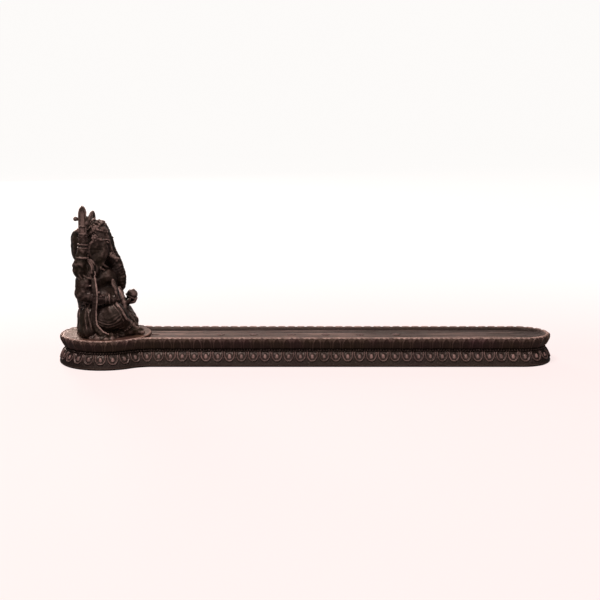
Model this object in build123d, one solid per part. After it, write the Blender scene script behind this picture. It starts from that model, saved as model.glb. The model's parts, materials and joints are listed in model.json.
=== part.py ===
from build123d import *
import math
import os

# Seated-figure incense stick burner, cold-cast resin.
# A long shallow ash tray on a double-lotus plinth, widened at one end into a
# round lobe that carries a four-armed elephant-headed figure looking along the
# tray.  Row frame: +X along the tray, away from the figure; +Z up; origin at
# the centre of the underside's bounding rectangle.  All sizes in millimetres.

# ---------------------------------------------------------------- dimensions
LENGTH = 260.0            # overall, flange edge to flange edge
LOBE_R = 25.1             # flange radius of the round lobe
TRAY_HALF = 16.6          # half the flange width of the straight tray
FILLET = 18.0             # concave blend between lobe and tray
XC = -LENGTH / 2 + LOBE_R     # lobe centre
XE = LENGTH / 2 - TRAY_HALF   # centre of the tray's round end

# plinth section: (inset from the flange edge, height)
SECTION = [
    (0.9, 0.0), (0.15, 0.6), (0.0, 1.4), (0.45, 2.9), (2.1, 6.4), (3.3, 7.7),
    (3.7, 8.3), (3.3, 9.1), (2.2, 10.8), (1.2, 12.9), (1.0, 13.7), (1.1, 14.6), (1.5, 15.35),
]
RIM_TOP = 15.35           # crest of the rim
RIM_IN = 2.5              # inset of the crest's inner edge
FLOOR_Z = 13.8            # floor of the ash trough
FLOOR_IN = 4.2            # inset of the foot of the trough wall
DISC_R = 23.3             # round ground the figure sits on
DISC_T = 1.4
DISC_TOP = FLOOR_Z + DISC_T

STICK_R = 1.1             # hole for an incense stick
STICK_TILT = 30.0         # degrees above the tray floor
STICK_X = -79.3           # where its axis meets the floor
STICK_DEEP = 12.0

FELT_T = 0.8
FELT_IN = 2.6

PETAL_UP_PITCH = 5.17
PETAL_DOWN_PITCH = 6.11

ROSETTE_X = [-44.8, -27.4, -7.3, 10.7, 29.0, 48.2]
ROSETTE_R = 2.35
ROSETTE_H = 0.4

DOWEL_R = 2.0
DOWEL_LEN = 8.0

os.makedirs("parts", exist_ok=True)
PARTS = {}
ORDER = []


# ------------------------------------------------------------------- outline
_XF = XC + math.sqrt((LOBE_R + FILLET) ** 2 - (TRAY_HALF + FILLET) ** 2)
_UX = (_XF - XC) / (LOBE_R + FILLET)
_UY = (TRAY_HALF + FILLET) / (LOBE_R + FILLET)


def outline(inset, z):
    """Closed wire of the plan outline, moved in by inset, at height z."""
    r, h, f = LOBE_R - inset, TRAY_HALF - inset, FILLET + inset
    a, b = (_XF, -h), (XE, -h)
    c, d = (XE, h), (_XF, h)
    e = (XC + _UX * r, _UY * r)
    g = (XC + _UX * r, -_UY * r)
    # mid-points of the blends, on the circle about the blend's own centre
    cx, cy = _XF, TRAY_HALF + FILLET
    ang_line = math.atan2(-1.0, 0.0)
    ang_circ = math.atan2(e[1] - cy, e[0] - cx)
    am = (ang_line + ang_circ) / 2
    m = (cx + f * math.cos(am), cy + f * math.sin(am))

    def p(q):
        return (q[0], q[1], z)

    edges = [
        Edge.make_line(p(a), p(b)),
        Edge.make_three_point_arc(p(b), p((XE + h, 0)), p(c)),
        Edge.make_line(p(c), p(d)),
        Edge.make_three_point_arc(p(d), p(m), p(e)),
        Edge.make_three_point_arc(p(e), p((XC - r, 0)), p(g)),
        Edge.make_three_point_arc(p(g), p((m[0], -m[1])), p(a)),
    ]
    return Wire(edges)


def stadium(inset, z, x0):
    """Closed wire of the tray only, from x0 to the round end, moved in by inset."""
    h = TRAY_HALF - inset
    return Wire([
        Edge.make_line((x0, -h, z), (XE, -h, z)),
        Edge.make_three_point_arc((XE, -h, z), (XE + h, 0, z), (XE, h, z)),
        Edge.make_line((XE, h, z), (x0, h, z)),
        Edge.make_line((x0, h, z), (x0, -h, z)),
    ])


def stack(wires):
    return Solid.make_loft(wires, True)


def walk(inset, pitch):
    """Evenly spaced stations (x, y, outward angle) round the outline at an inset."""
    r, h, f = LOBE_R - inset, TRAY_HALF - inset, FILLET + inset
    a_c = math.atan2(_UY, _UX)                    # half angle where the lobe arc ends
    straight = XE - _XF
    blend = math.pi / 2 - a_c
    blend = abs(math.atan2(-1.0, 0.0) - math.atan2(_UY * r - (TRAY_HALF + FILLET), _UX * (r) + XC - _XF))
    lengths = [straight, math.pi * h, straight, f * blend, r * (2 * math.pi - 2 * a_c), f * blend]
    total = sum(lengths)
    n = round(total / pitch)
    out = []
    for i in range(n):
        s = (i + 0.5) * total / n
        k = 0
        while s > lengths[k]:
            s -= lengths[k]
            k += 1
        if k == 0:
            out.append((_XF + s, -h, -90.0, "line"))
        elif k == 1:
            t = -math.pi / 2 + s / h
            out.append((XE + h * math.cos(t), h * math.sin(t), math.degrees(t), "end"))
        elif k == 2:
            out.append((XE - s, h, 90.0, "line"))
        elif k == 3:
            t = -math.pi / 2 - s / f
            out.append((_XF + f * math.cos(t), TRAY_HALF + FILLET + f * math.sin(t), math.degrees(t) + 180.0, "blend"))
        elif k == 4:
            t = a_c + s / r
            out.append((XC + r * math.cos(t), r * math.sin(t), math.degrees(t), "lobe"))
        else:
            t0 = math.atan2(-_UY * r + (TRAY_HALF + FILLET), _UX * r + XC - _XF)
            t = t0 - s / f
            out.append((_XF + f * math.cos(t), -(TRAY_HALF + FILLET) + f * math.sin(t), math.degrees(t) + 180.0, "blend"))
    return out


# ------------------------------------------------------------------ the base
body = stack([outline(i, z) for i, z in SECTION])
trough = stack([stadium(FLOOR_IN, FLOOR_Z, XC), stadium(RIM_IN, RIM_TOP, XC), stadium(RIM_IN - 0.1, RIM_TOP + 1, XC)])
trough = trough - Pos(XC, 0, FLOOR_Z) * Cylinder(DISC_R, 10, align=(Align.CENTER, Align.CENTER, Align.MIN))
pocket = Pos(XC, 0, FLOOR_Z) * Cylinder(DISC_R, 10, align=(Align.CENTER, Align.CENTER, Align.MIN))
body = body - trough - pocket
felt = stack([outline(FELT_IN, 0.0), outline(FELT_IN, FELT_T)])
body = body - felt

tilt = math.radians(STICK_TILT)
# axis direction pointing out of the mouth, away from the figure
stick_dir = Vector(math.cos(tilt), 0, math.sin(tilt))
stick_mouth = Vector(STICK_X, 0, FLOOR_Z)
stick_plane = Plane(origin=stick_mouth - stick_dir * STICK_DEEP, z_dir=stick_dir)
stick_hole = stick_plane * Cylinder(STICK_R, STICK_DEEP + 6, align=(Align.CENTER, Align.CENTER, Align.MIN))
body = body - stick_hole

disc = Pos(XC, 0, FLOOR_Z) * Cylinder(DISC_R, DISC_T, align=(Align.CENTER, Align.CENTER, Align.MIN))
dowel_at = (-106.0, 0.0, DISC_TOP - DOWEL_LEN / 2)
dowel = Pos(*dowel_at) * Cylinder(DOWEL_R, DOWEL_LEN, align=(Align.CENTER, Align.CENTER, Align.MIN))
disc = disc - dowel - stick_hole
body = body - dowel

PARTS["tray_casting"] = body
PARTS["felt_pad"] = felt
PARTS["figure_ground_disc"] = disc
PARTS["figure_dowel"] = dowel

# small bead moulding lying in the waist of the plinth
bead_path = outline(3.25, 8.35)
bead = sweep(Plane(origin=bead_path @ 0, z_dir=bead_path % 0) * Circle(0.5), path=bead_path)
PARTS["waist_bead_moulding"] = bead - body


def petal(width, height, thick):
    """One lotus petal lying in its own XY plane, root at y = 0, tip at y = height, thick along +Z."""
    w = width / 2
    wire = Wire([
        Edge.make_line((-w * 0.86, 0, 0), (w * 0.86, 0, 0)),
        Edge.make_three_point_arc((w * 0.86, 0, 0), (w, height * 0.45, 0), (w * 0.62, height * 0.82, 0)),
        Edge.make_three_point_arc((w * 0.62, height * 0.82, 0), (w * 0.36, height * 0.95, 0), (0, height, 0)),
        Edge.make_three_point_arc((0, height, 0), (-w * 0.36, height * 0.95, 0), (-w * 0.62, height * 0.82, 0)),
        Edge.make_three_point_arc((-w * 0.62, height * 0.82, 0), (-w, height * 0.45, 0), (-w * 0.86, 0, 0)),
    ])
    plate = Solid.extrude(Face(wire), Vector(0, 0, thick * 0.6))
    boss_wire = Wire([Edge.make_ellipse(w * 0.5, height * 0.3, Plane(origin=(0, height * 0.48, thick * 0.6), z_dir=(0, 0, 1)))])
    boss = Solid.extrude(Face(boss_wire), Vector(0, 0, thick * 0.4))
    return plate.fuse(boss)


def petal_row(pitch, root, tip, thick):
    """A row of separate petals on the wall between two section points (inset, z)."""
    (ri, rz), (ti, tz) = root, tip
    length = math.hypot(ti - ri, tz - rz)
    one = petal(pitch * 0.93, length, thick)
    solids = []
    for x, y, ang, where in walk(ri, pitch):
        t = math.radians(ang)
        out = Vector(math.cos(t), math.sin(t), 0)
        up = (out * (ri - ti) + Vector(0, 0, tz - rz)).normalized()
        side = Vector(0, 0, 1).cross(out) * (1 if tz > rz else -1)
        normal = side.cross(up)
        if normal.dot(out) < 0:
            side, normal = side * -1, normal * -1
        # in the concave blends a flat petal bears on its two side edges
        lift = (pitch * 0.93 / 2) ** 2 / (2 * (FILLET + ri)) + 0.01 if where == "blend" else 0.0
        pl = Plane(origin=Vector(x, y, rz) + out * lift, x_dir=side, z_dir=normal)
        solids.append(pl * one)
    return Compound(children=solids)


PARTS["upper_lotus_petals"] = petal_row(PETAL_UP_PITCH, (2.2, 10.8), (1.2, 12.9), 0.55)
PARTS["lower_lotus_petals"] = petal_row(PETAL_DOWN_PITCH, (2.1, 6.4), (0.45, 2.9), 0.6)


def rosette(x):
    pts = []
    n = 8
    edges = []
    r0 = ROSETTE_R * 0.84
    for i in range(n):
        a0, a1 = 2 * math.pi * i / n, 2 * math.pi * (i + 1) / n
        am = (a0 + a1) / 2
        edges.append(Edge.make_three_point_arc(
            (x + r0 * math.cos(a0), r0 * math.sin(a0), FLOOR_Z),
            (x + ROSETTE_R * math.cos(am), ROSETTE_R * math.sin(am), FLOOR_Z),
            (x + r0 * math.cos(a1), r0 * math.sin(a1), FLOOR_Z)))
    base = Solid.extrude(Face(Wire(edges)), Vector(0, 0, ROSETTE_H * 0.6))
    eye = Pos(x, 0, FLOOR_Z + ROSETTE_H * 0.6) * Cylinder(0.8, ROSETTE_H * 0.4, align=(Align.CENTER, Align.CENTER, Align.MIN))
    return base.fuse(eye)


PARTS["floor_rosettes"] = Compound(children=[rosette(x) for x in ROSETTE_X])


# ---------------------------------------------------------------- the figure
def ball(x, y, z, r):
    return Pos(x, y, z) * Sphere(r)


def egg(x, y, z, a, b, c, rx=0.0, ry=0.0, rz=0.0):
    """Ellipsoid with semi-axes a, b, c along X, Y, Z, then turned."""
    s = scale(Sphere(1.0), by=(a, b, c))
    return Pos(x, y, z) * Rot(rx, ry, rz) * s


def limb(pts):
    """Round-jointed tapering limb through points (x, y, z, radius)."""
    shape = None
    for (x0, y0, z0, r0), (x1, y1, z1, r1) in zip(pts, pts[1:]):
        a, b = Vector(x0, y0, z0), Vector(x1, y1, z1)
        d = b - a
        if abs(r0 - r1) < 1e-3:
            seg = Plane(origin=a, z_dir=d) * Cylinder(r0, d.length, align=(Align.CENTER, Align.CENTER, Align.MIN))
        else:
            seg = Plane(origin=a, z_dir=d) * Cone(r0, r1, d.length, align=(Align.CENTER, Align.CENTER, Align.MIN))
        shape = seg if shape is None else shape + seg
    for x, y, z, r in pts:
        shape = shape + ball(x, y, z, r)
    return shape


def mirror_y(pts):
    return [(x, -y, z, r) for x, y, z, r in pts]


def ribbon(pts, width, thick):
    """Flat strap through points (x, y, z) lying mostly in a plane of constant Y, as overlapping flat links."""
    shape = None
    for a, b in zip(pts, pts[1:]):
        a, b = Vector(*a), Vector(*b)
        d = b - a
        pl = Plane(origin=a, z_dir=d, x_dir=Vector(0, 1, 0).cross(d))
        seg = pl * Box(width, thick, d.length + thick * 0.5, align=(Align.CENTER, Align.CENTER, Align.MIN))
        shape = seg if shape is None else shape + seg
    return shape


RAW = {}
FX = -106.0     # fore-and-aft centre of the seat

# seat: a low cushion whose cloth spreads on the disc
RAW["seat_cushion"] = egg(-105.4, 0, 16.2, 14.4, 19.4, 4.6) & Pos(-105.4, 0, DISC_TOP) * Box(60, 60, 12, align=(Align.CENTER, Align.CENTER, Align.MIN))
RAW["figure_torso"] = (
    egg(-105.2, 0, 33.2, 9.6, 11.6, 10.4)
    + egg(-109.5, 0, 44.5, 9.6, 11.2, 9.6)
    + egg(-112.4, 0, 34.5, 8.2, 12.0, 12.0)
    + limb([(-110.5, -10.0, 51.0, 4.6), (-110.5, 10.0, 51.0, 4.6)])
    + limb([(-109.5, 0, 50, 6.0), (-108.5, 0, 57, 6.0)])
)
RAW["hip_drapery"] = egg(-110.5, 0, 24.0, 10.0, 14.2, 8.8)
RAW["right_leg"] = limb([(-109.0, -9.5, 24.0, 6.6), (-98.6, -12.2, 27.6, 5.2), (-94.2, -8.4, 20.6, 3.6), (-92.6, -7.2, 17.8, 2.6), (-86.6, -2.8, 16.9, 1.7)])
RAW["left_leg"] = limb([(-109.0, 10.5, 22.5, 6.6), (-98.8, 14.8, 22.4, 5.0), (-93.4, 8.0, 20.0, 3.5), (-91.4, 2.6, 19.6, 2.5)])
RAW["elephant_head"] = (
    egg(-107.4, 0, 64.0, 7.4, 7.8, 8.6)
    + egg(-106.4, -3.1, 69.0, 3.6, 3.5, 3.8)
    + egg(-106.4, 3.1, 69.0, 3.6, 3.5, 3.8)
    + egg(-104.8, 0, 59.8, 5.2, 6.6, 4.8)
)
RAW["trunk"] = limb([
    (-105.6, 0, 63.5, 4.3), (-102.6, 0, 57.4, 4.0), (-99.4, 0.2, 52.0, 3.5), (-97.2, 0.4, 46.8, 3.0),
    (-97.0, 1.0, 42.4, 2.65), (-97.6, 3.0, 39.8, 2.2), (-97.4, 5.8, 39.2, 1.9), (-96.6, 7.8, 40.2, 1.6),
])
RAW["right_tusk"] = limb([(-102.0, -4.4, 59.6, 1.15), (-99.2, -5.6, 57.0, 1.0), (-97.2, -5.8, 55.4, 0.6)])
RAW["left_tusk"] = limb([(-102.0, 4.4, 59.6, 1.15), (-100.2, 5.2, 58.0, 1.05)])
RAW["hair_bun"] = ball(-114.6, 0, 61.8, 7.7) + ball(-117.0, 0, 65.4, 5.3)
RAW["right_ear"] = egg(-106.7, -10.1, 59.2, 1.5, 5.2, 7.0, rz=-60)
RAW["left_ear"] = egg(-106.7, 10.1, 59.2, 1.5, 5.2, 7.0, rz=60)
crown_pl = Plane(origin=(-109.6, 0, 69.2), z_dir=(-0.643, 0, 0.766))
crown_prof = Wire([
    Edge.make_line((0, 0, 0), (6.1, 0, 0)),
    Edge.make_line((6.1, 0, 0), (6.3, 0, 1.6)),
    Edge.make_line((6.3, 0, 1.6), (4.9, 0, 2.6)),
    Edge.make_line((4.9, 0, 2.6), (4.5, 0, 4.4)),
    Edge.make_line((4.5, 0, 4.4), (3.1, 0, 5.6)),
    Edge.make_line((3.1, 0, 5.6), (2.7, 0, 7.2)),
    Edge.make_line((2.7, 0, 7.2), (1.4, 0, 8.4)),
    Edge.make_line((1.4, 0, 8.4), (0, 0, 9.4)),
    Edge.make_line((0, 0, 9.4), (0, 0, 0)),
])
RAW["tiered_crown"] = crown_pl * revolve(Face(crown_prof), Axis.Z)

REAR_R = [(-111.5, -12.0, 51.6, 3.5), (-115.2, -17.6, 54.2, 2.9), (-114.2, -17.2, 60.6, 2.4), (-113.4, -16.4, 66.6, 2.2)]
FRONT_R = [(-112.2, -12.4, 47.6, 3.7), (-114.6, -15.6, 39.2, 3.5), (-108.4, -16.0, 36.6, 2.7), (-99.8, -14.8, 36.6, 2.1)]
RAW["right_rear_arm"] = limb(REAR_R)
RAW["left_rear_arm"] = limb(mirror_y(REAR_R))
RAW["right_front_arm"] = limb(FRONT_R) + egg(-97.8, -14.2, 39.8, 1.6, 2.6, 4.4)
RAW["left_front_arm"] = limb([(-112.2, 12.4, 47.6, 3.7), (-114.6, 15.8, 37.6, 3.3), (-106.0, 15.0, 32.6, 2.7), (-96.8, 12.4, 29.8, 2.1)])
RAW["sweet_bowl"] = Plane(origin=(-94.6, 12.2, 30.4), z_dir=(0.45, 0, 0.9)) * (
    Cone(1.5, 3.0, 2.6, align=(Align.CENTER, Align.CENTER, Align.MIN)) + Pos(0, 0, 3.2) * Sphere(2.6))

RAW["goad"] = (
    limb([(-114.0, -16.2, 60.5, 0.9), (-113.4, -15.4, 68.0, 0.9)])
    + limb([(-113.3, -15.2, 69.0, 1.75), (-113.5, -13.6, 80.6, 1.75)])
    + Plane(origin=(-113.5, -13.6, 80.6), z_dir=(-0.02, 0.14, 1)) * Cone(1.75, 0.4, 3.2, align=(Align.CENTER, Align.CENTER, Align.MIN))
    + limb([(-113.4, -14.4, 75.4, 0.9), (-109.8, -14.4, 78.4, 0.8)])
    + limb([(-113.4, -14.4, 76.4, 0.8), (-117.4, -14.4, 76.4, 0.95)])
)
noose_pl = Plane(origin=(-113.4, 14.8, 73.4), z_dir=(1, 0, 0))
RAW["noose"] = noose_pl * Torus(4.0, 0.95) + limb([(-113.6, 16.2, 64.0, 0.9), (-113.4, 15.2, 69.6, 0.9)])
RAW["right_scarf"] = ribbon([(-107.4, -18.8, 41.0), (-107.6, -19.0, 30.0), (-107.8, -19.2, 21.5), (-106.4, -19.6, 17.0)], 3.0, 1.0)
RAW["left_scarf"] = ribbon([(-107.4, 18.8, 41.0), (-107.6, 19.0, 30.0), (-107.8, 19.2, 21.5), (-106.4, 19.6, 17.0)], 3.0, 1.0)
RAW["front_sash"] = ribbon([(-97.6, 1.6, 26.0), (-92.4, 2.2, 23.4), (-89.4, 2.6, 18.8), (-88.6, 2.8, 16.0)], 1.2, 5.0)

# Where two pieces of the figure would share space, the earlier one keeps it
# and the later one is cut to meet it face to face.
PRIORITY = [
    "seat_cushion", "figure_torso", "hip_drapery", "right_leg", "left_leg", "elephant_head",
    "trunk", "hair_bun", "tiered_crown", "right_tusk", "left_tusk", "right_ear", "left_ear",
    "right_front_arm", "left_front_arm", "right_rear_arm", "left_rear_arm",
    "sweet_bowl", "goad", "noose", "front_sash", "right_scarf", "left_scarf",
]


def boxes_meet(a, b):
    p, q = a.bounding_box(), b.bounding_box()
    return all([
        p.min.X < q.max.X + 0.01, q.min.X < p.max.X + 0.01,
        p.min.Y < q.max.Y + 0.01, q.min.Y < p.max.Y + 0.01,
        p.min.Z < q.max.Z + 0.01, q.min.Z < p.max.Z + 0.01,
    ])


below = Pos(-105, 0, DISC_TOP) * Box(80, 80, 40, align=(Align.CENTER, Align.CENTER, Align.MAX))
done = [("dowel", dowel)]
for name in PRIORITY:
    s = RAW[name]
    if s.bounding_box().min.Z < DISC_TOP - 1e-6:
        s = s - below
    for other, t in done:
        if boxes_meet(s, t):
            s = s - t
    pieces = sorted(s.solids(), key=lambda q: q.volume, reverse=True)
    pieces = [q for q in pieces if q.volume > max(0.6, pieces[0].volume * 0.02)]
    s = Compound(children=pieces) if len(pieces) > 1 else pieces[0]
    print(name, "pieces", len(pieces), "volume", round(sum(q.volume for q in pieces), 1), "valid", all(q.is_valid for q in pieces))
    PARTS[name] = s
    done.append((name, s))

for name, shape in PARTS.items():
    export_step(shape, "parts/" + name + ".step")
print("nodes", len(PARTS))
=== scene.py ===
import json
import math

import bpy
import bmesh
import numpy as np
import openvdb as vdb
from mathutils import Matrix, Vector
from mathutils.geometry import delaunay_2d_cdt, tessellate_polygon

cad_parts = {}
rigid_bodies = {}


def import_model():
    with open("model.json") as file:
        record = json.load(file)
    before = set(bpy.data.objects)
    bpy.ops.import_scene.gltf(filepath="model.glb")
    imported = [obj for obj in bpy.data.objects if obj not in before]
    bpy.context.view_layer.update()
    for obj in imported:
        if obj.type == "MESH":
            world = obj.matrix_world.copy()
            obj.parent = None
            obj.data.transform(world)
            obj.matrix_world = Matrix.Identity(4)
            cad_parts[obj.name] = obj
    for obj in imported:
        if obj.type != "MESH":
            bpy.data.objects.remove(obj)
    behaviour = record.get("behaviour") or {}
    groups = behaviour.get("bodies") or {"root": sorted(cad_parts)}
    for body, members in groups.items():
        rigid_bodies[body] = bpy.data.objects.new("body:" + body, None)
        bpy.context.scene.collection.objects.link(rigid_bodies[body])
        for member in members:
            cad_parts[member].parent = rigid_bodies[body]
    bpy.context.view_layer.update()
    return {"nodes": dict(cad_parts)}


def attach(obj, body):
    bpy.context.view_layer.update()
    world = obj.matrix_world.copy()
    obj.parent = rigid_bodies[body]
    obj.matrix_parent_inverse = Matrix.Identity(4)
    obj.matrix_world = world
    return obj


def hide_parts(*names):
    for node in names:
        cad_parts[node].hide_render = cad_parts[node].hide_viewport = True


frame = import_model()
MM = 0.001
F32 = np.float32

# ------------------------------------------------------------ plinth sizes, mm
LENGTH, LOBE_R, TRAY_HALF, FILLET = 260.0, 25.1, 16.6, 18.0
XC = -LENGTH / 2 + LOBE_R
XE = LENGTH / 2 - TRAY_HALF
XF = XC + math.sqrt((LOBE_R + FILLET) ** 2 - (TRAY_HALF + FILLET) ** 2)
UX = (XF - XC) / (LOBE_R + FILLET)
UY = (TRAY_HALF + FILLET) / (LOBE_R + FILLET)
FLOOR_Z, DISC_R, DISC_TOP, RIM_TOP = 13.8, 23.3, 15.2, 15.35
PITCH_UP, PITCH_DOWN = 5.17, 6.11
ROSETTE_X = [-44.8, -27.4, -7.3, 10.7, 29.0, 48.2]


# ------------------------------------------------------------------ utilities
def smooth(t):
    t = np.clip(t, 0.0, 1.0)
    return t * t * (3 - 2 * t)


def noise3(p, seed, scale):
    """Smooth lattice noise in -1..1 at points p (n, 3), the same every run."""
    q = np.asarray(p, float) / scale + seed * 17.31
    i = np.floor(q).astype(np.int64)
    f = q - i
    f = f * f * (3 - 2 * f)

    def h(a, b, c):
        n = (a * 374761393 + b * 668265263 + c * 2147483647 + seed * 144665) & 0xFFFFFFFF
        n = ((n ^ (n >> 13)) * 1274126177) & 0xFFFFFFFF
        return ((n ^ (n >> 16)) & 0xFFFF) / 32767.5 - 1.0

    x, y, z = i[..., 0], i[..., 1], i[..., 2]
    fx, fy, fz = f[..., 0], f[..., 1], f[..., 2]
    c00 = h(x, y, z) * (1 - fx) + h(x + 1, y, z) * fx
    c10 = h(x, y + 1, z) * (1 - fx) + h(x + 1, y + 1, z) * fx
    c01 = h(x, y, z + 1) * (1 - fx) + h(x + 1, y, z + 1) * fx
    c11 = h(x, y + 1, z + 1) * (1 - fx) + h(x + 1, y + 1, z + 1) * fx
    return (c00 * (1 - fy) + c10 * fy) * (1 - fz) + (c01 * (1 - fy) + c11 * fy) * fz


def mesh_object(name, verts, faces, wear_and_light=None, flat=False):
    """A mesh object from points in mm and a list or array of faces."""
    me = bpy.data.meshes.new(name)
    v = np.asarray(verts, float) * MM
    me.from_pydata(v.tolist(), [], faces.tolist() if hasattr(faces, "tolist") else faces)
    me.validate()
    if not flat:
        me.polygons.foreach_set("use_smooth", np.ones(len(me.polygons), bool))
    if wear_and_light is not None and len(wear_and_light) == len(me.vertices):
        a = me.attributes.new("wear_and_light", "FLOAT", "POINT")
        a.data.foreach_set("value", np.asarray(wear_and_light, F32))
    me.update()
    o = bpy.data.objects.new(name, me)
    bpy.context.scene.collection.objects.link(o)
    return o


# --------------------------------------------------------------- the outline
def outline_columns(step):
    """Points (x, y) and outward normals round the flange edge, in even steps."""
    a_c = math.atan2(UY, UX)
    pts, nrm = [], []

    def arc(cx, cy, r, t0, t1, flip, n):
        for k in range(n):
            t = t0 + (t1 - t0) * k / n
            c, s = math.cos(t), math.sin(t)
            pts.append((cx + r * c, cy + r * s))
            nrm.append((-c, -s) if flip else (c, s))

    n = round((XE - XF) / step)
    for k in range(n):
        pts.append((XF + (XE - XF) * k / n, -TRAY_HALF)); nrm.append((0.0, -1.0))
    arc(XE, 0, TRAY_HALF, -math.pi / 2, math.pi / 2, False, round(math.pi * TRAY_HALF / step))
    for k in range(n):
        pts.append((XE - (XE - XF) * k / n, TRAY_HALF)); nrm.append((0.0, 1.0))
    # blend on +Y: from -90 degrees about (XF, h + FILLET) to the lobe
    cy = TRAY_HALF + FILLET
    t1 = math.atan2(UY * LOBE_R - cy, XC + UX * LOBE_R - XF)
    nb = round(FILLET * abs(t1 + math.pi / 2) / step)
    arc(XF, cy, FILLET, -math.pi / 2, t1, True, nb)
    arc(XC, 0, LOBE_R, a_c, 2 * math.pi - a_c, False, round(LOBE_R * (2 * math.pi - 2 * a_c) / step))
    arc(XF, -cy, FILLET, -t1, math.pi / 2, True, nb)
    return np.array(pts), np.array(nrm)


P0, N0 = outline_columns(0.24)
NCOL = len(P0)


def at_inset(i):
    """Outline points moved in by i, which may be one number or one for each column."""
    i = np.asarray(i, float)
    return P0 - N0 * (i[:, None] if i.ndim else i)


def phase(inset, pitch):
    """Place of each column within a row of repeats: whole number at a gap, .5 at a petal's middle."""
    p = at_inset(inset)
    d = np.linalg.norm(np.roll(p, -1, 0) - p, axis=1)
    total = d.sum()
    n = round(total / pitch)
    return (np.concatenate([[0], np.cumsum(d)[:-1]]) / total * n), total / n


# how far round the lobe a column lies: 1 on the lobe, 0 on the tray
LOBE_W = smooth((-(P0[:, 0] - (XF - 6.0))) / 12.0)


def fast_mesh(name, verts, polys, wear_and_light=None):
    """Mesh object from points in mm and a list of index arrays, each (n, 3) or (n, 4)."""
    me = bpy.data.meshes.new(name)
    v = np.asarray(verts, float) * MM
    me.vertices.add(len(v))
    me.vertices.foreach_set("co", v.astype(F32).ravel())
    idx = np.concatenate([np.asarray(p, np.int32).ravel() for p in polys])
    sizes = np.concatenate([np.full(len(p), np.asarray(p).shape[1], np.int32) for p in polys])
    me.loops.add(len(idx))
    me.loops.foreach_set("vertex_index", idx)
    me.polygons.add(len(sizes))
    me.polygons.foreach_set("loop_start", np.concatenate([[0], np.cumsum(sizes)[:-1]]).astype(np.int32))
    me.polygons.foreach_set("use_smooth", np.ones(len(sizes), bool))
    me.update(calc_edges=True)
    if wear_and_light is not None:
        a = me.attributes.new("wear_and_light", "FLOAT", "POINT")
        a.data.foreach_set("value", np.asarray(wear_and_light, F32))
    o = bpy.data.objects.new(name, me)
    bpy.context.scene.collection.objects.link(o)
    return o


def grid_quads(nr, nc, wrap_rows, flip=False):
    """Quads of a grid with index row * nc + column, closed along its columns."""
    r = np.arange(nr if wrap_rows else nr - 1)[:, None]
    c = np.arange(nc)[None, :]
    r2, c2 = (r + 1) % nr, (c + 1) % nc
    q = np.stack([r * nc + c, r * nc + c2, r2 * nc + c2, r2 * nc + c], -1).reshape(-1, 4)
    return q[:, ::-1] if flip else q


def spline(points, step):
    """Catmull-Rom resampling of (inset, z) points at about the given step."""
    p = np.array(points, float)
    p = np.vstack([2 * p[0] - p[1], p, 2 * p[-1] - p[-2]])
    out = []
    for k in range(1, len(p) - 2):
        n = max(1, round(np.linalg.norm(p[k + 1] - p[k]) / step))
        for i in range(n):
            t = i / n
            out.append(0.5 * (2 * p[k] + (p[k + 1] - p[k - 1]) * t + (2 * p[k - 1] - 5 * p[k] + 4 * p[k + 1] - p[k + 2]) * t * t
                              + (3 * p[k] - p[k - 1] - 3 * p[k + 1] + p[k + 2]) * t ** 3))
    out.append(p[-2])
    return np.array(out)


def out_normals(prof):
    """Normals of a profile of (inset, z) running up the outside, as (outward, up)."""
    d = np.gradient(prof, axis=0)
    d /= np.linalg.norm(d, axis=1)[:, None] + 1e-9
    return np.stack([d[:, 1], d[:, 0]], 1)      # outward is minus inset


def sweep_points(prof, nrm, disp):
    """Points (rows, columns, 3) of a profile swept round the outline, moved out by disp (rows, columns)."""
    rows = []
    for j in range(len(prof)):
        ins = prof[j, 0] - nrm[j, 0] * disp[j]
        xy = P0 - N0 * ins[:, None]
        z = prof[j, 1] + nrm[j, 1] * disp[j]
        rows.append(np.column_stack([xy, z]))
    return np.array(rows)


# ------------------------------------------------------------ the lotus petals
def petal_relief(am, b, w, height, boss_h):
    """Height of one petal's relief: am across from its middle, b down from its root to its tip, both in mm."""
    t = np.clip((b / height - 0.28) / 0.72, 0, 1)
    half = w * np.sqrt(np.clip(1 - t ** 2.1, 0, 1))
    edge = (half - np.abs(am)) * np.where(t > 0, np.sqrt(np.clip(1 - 0.62 * t, 0.2, 1)), 1.0)
    below = height - b
    edge = np.minimum(edge, below * 0.9)
    plate = 0.30 * smooth((edge + 0.08) / 0.35)
    border = 0.36 * np.exp(-((edge - 0.42) / 0.27) ** 2)
    dish = -(0.24 if boss_h > 0 else 0.13) * smooth((edge - 0.75) / 0.4)
    boss_w = 0.95 * (0.62 + 0.45 * np.clip(b / (0.62 * height), 0, 1))
    boss = boss_h * np.exp(-(np.abs(am) / boss_w) ** 2.6 - (np.abs(b - height * 0.47) / (height * 0.25)) ** 2.8)
    return np.where(edge > -0.15, plate + border + dish + boss, 0.0), edge


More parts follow.
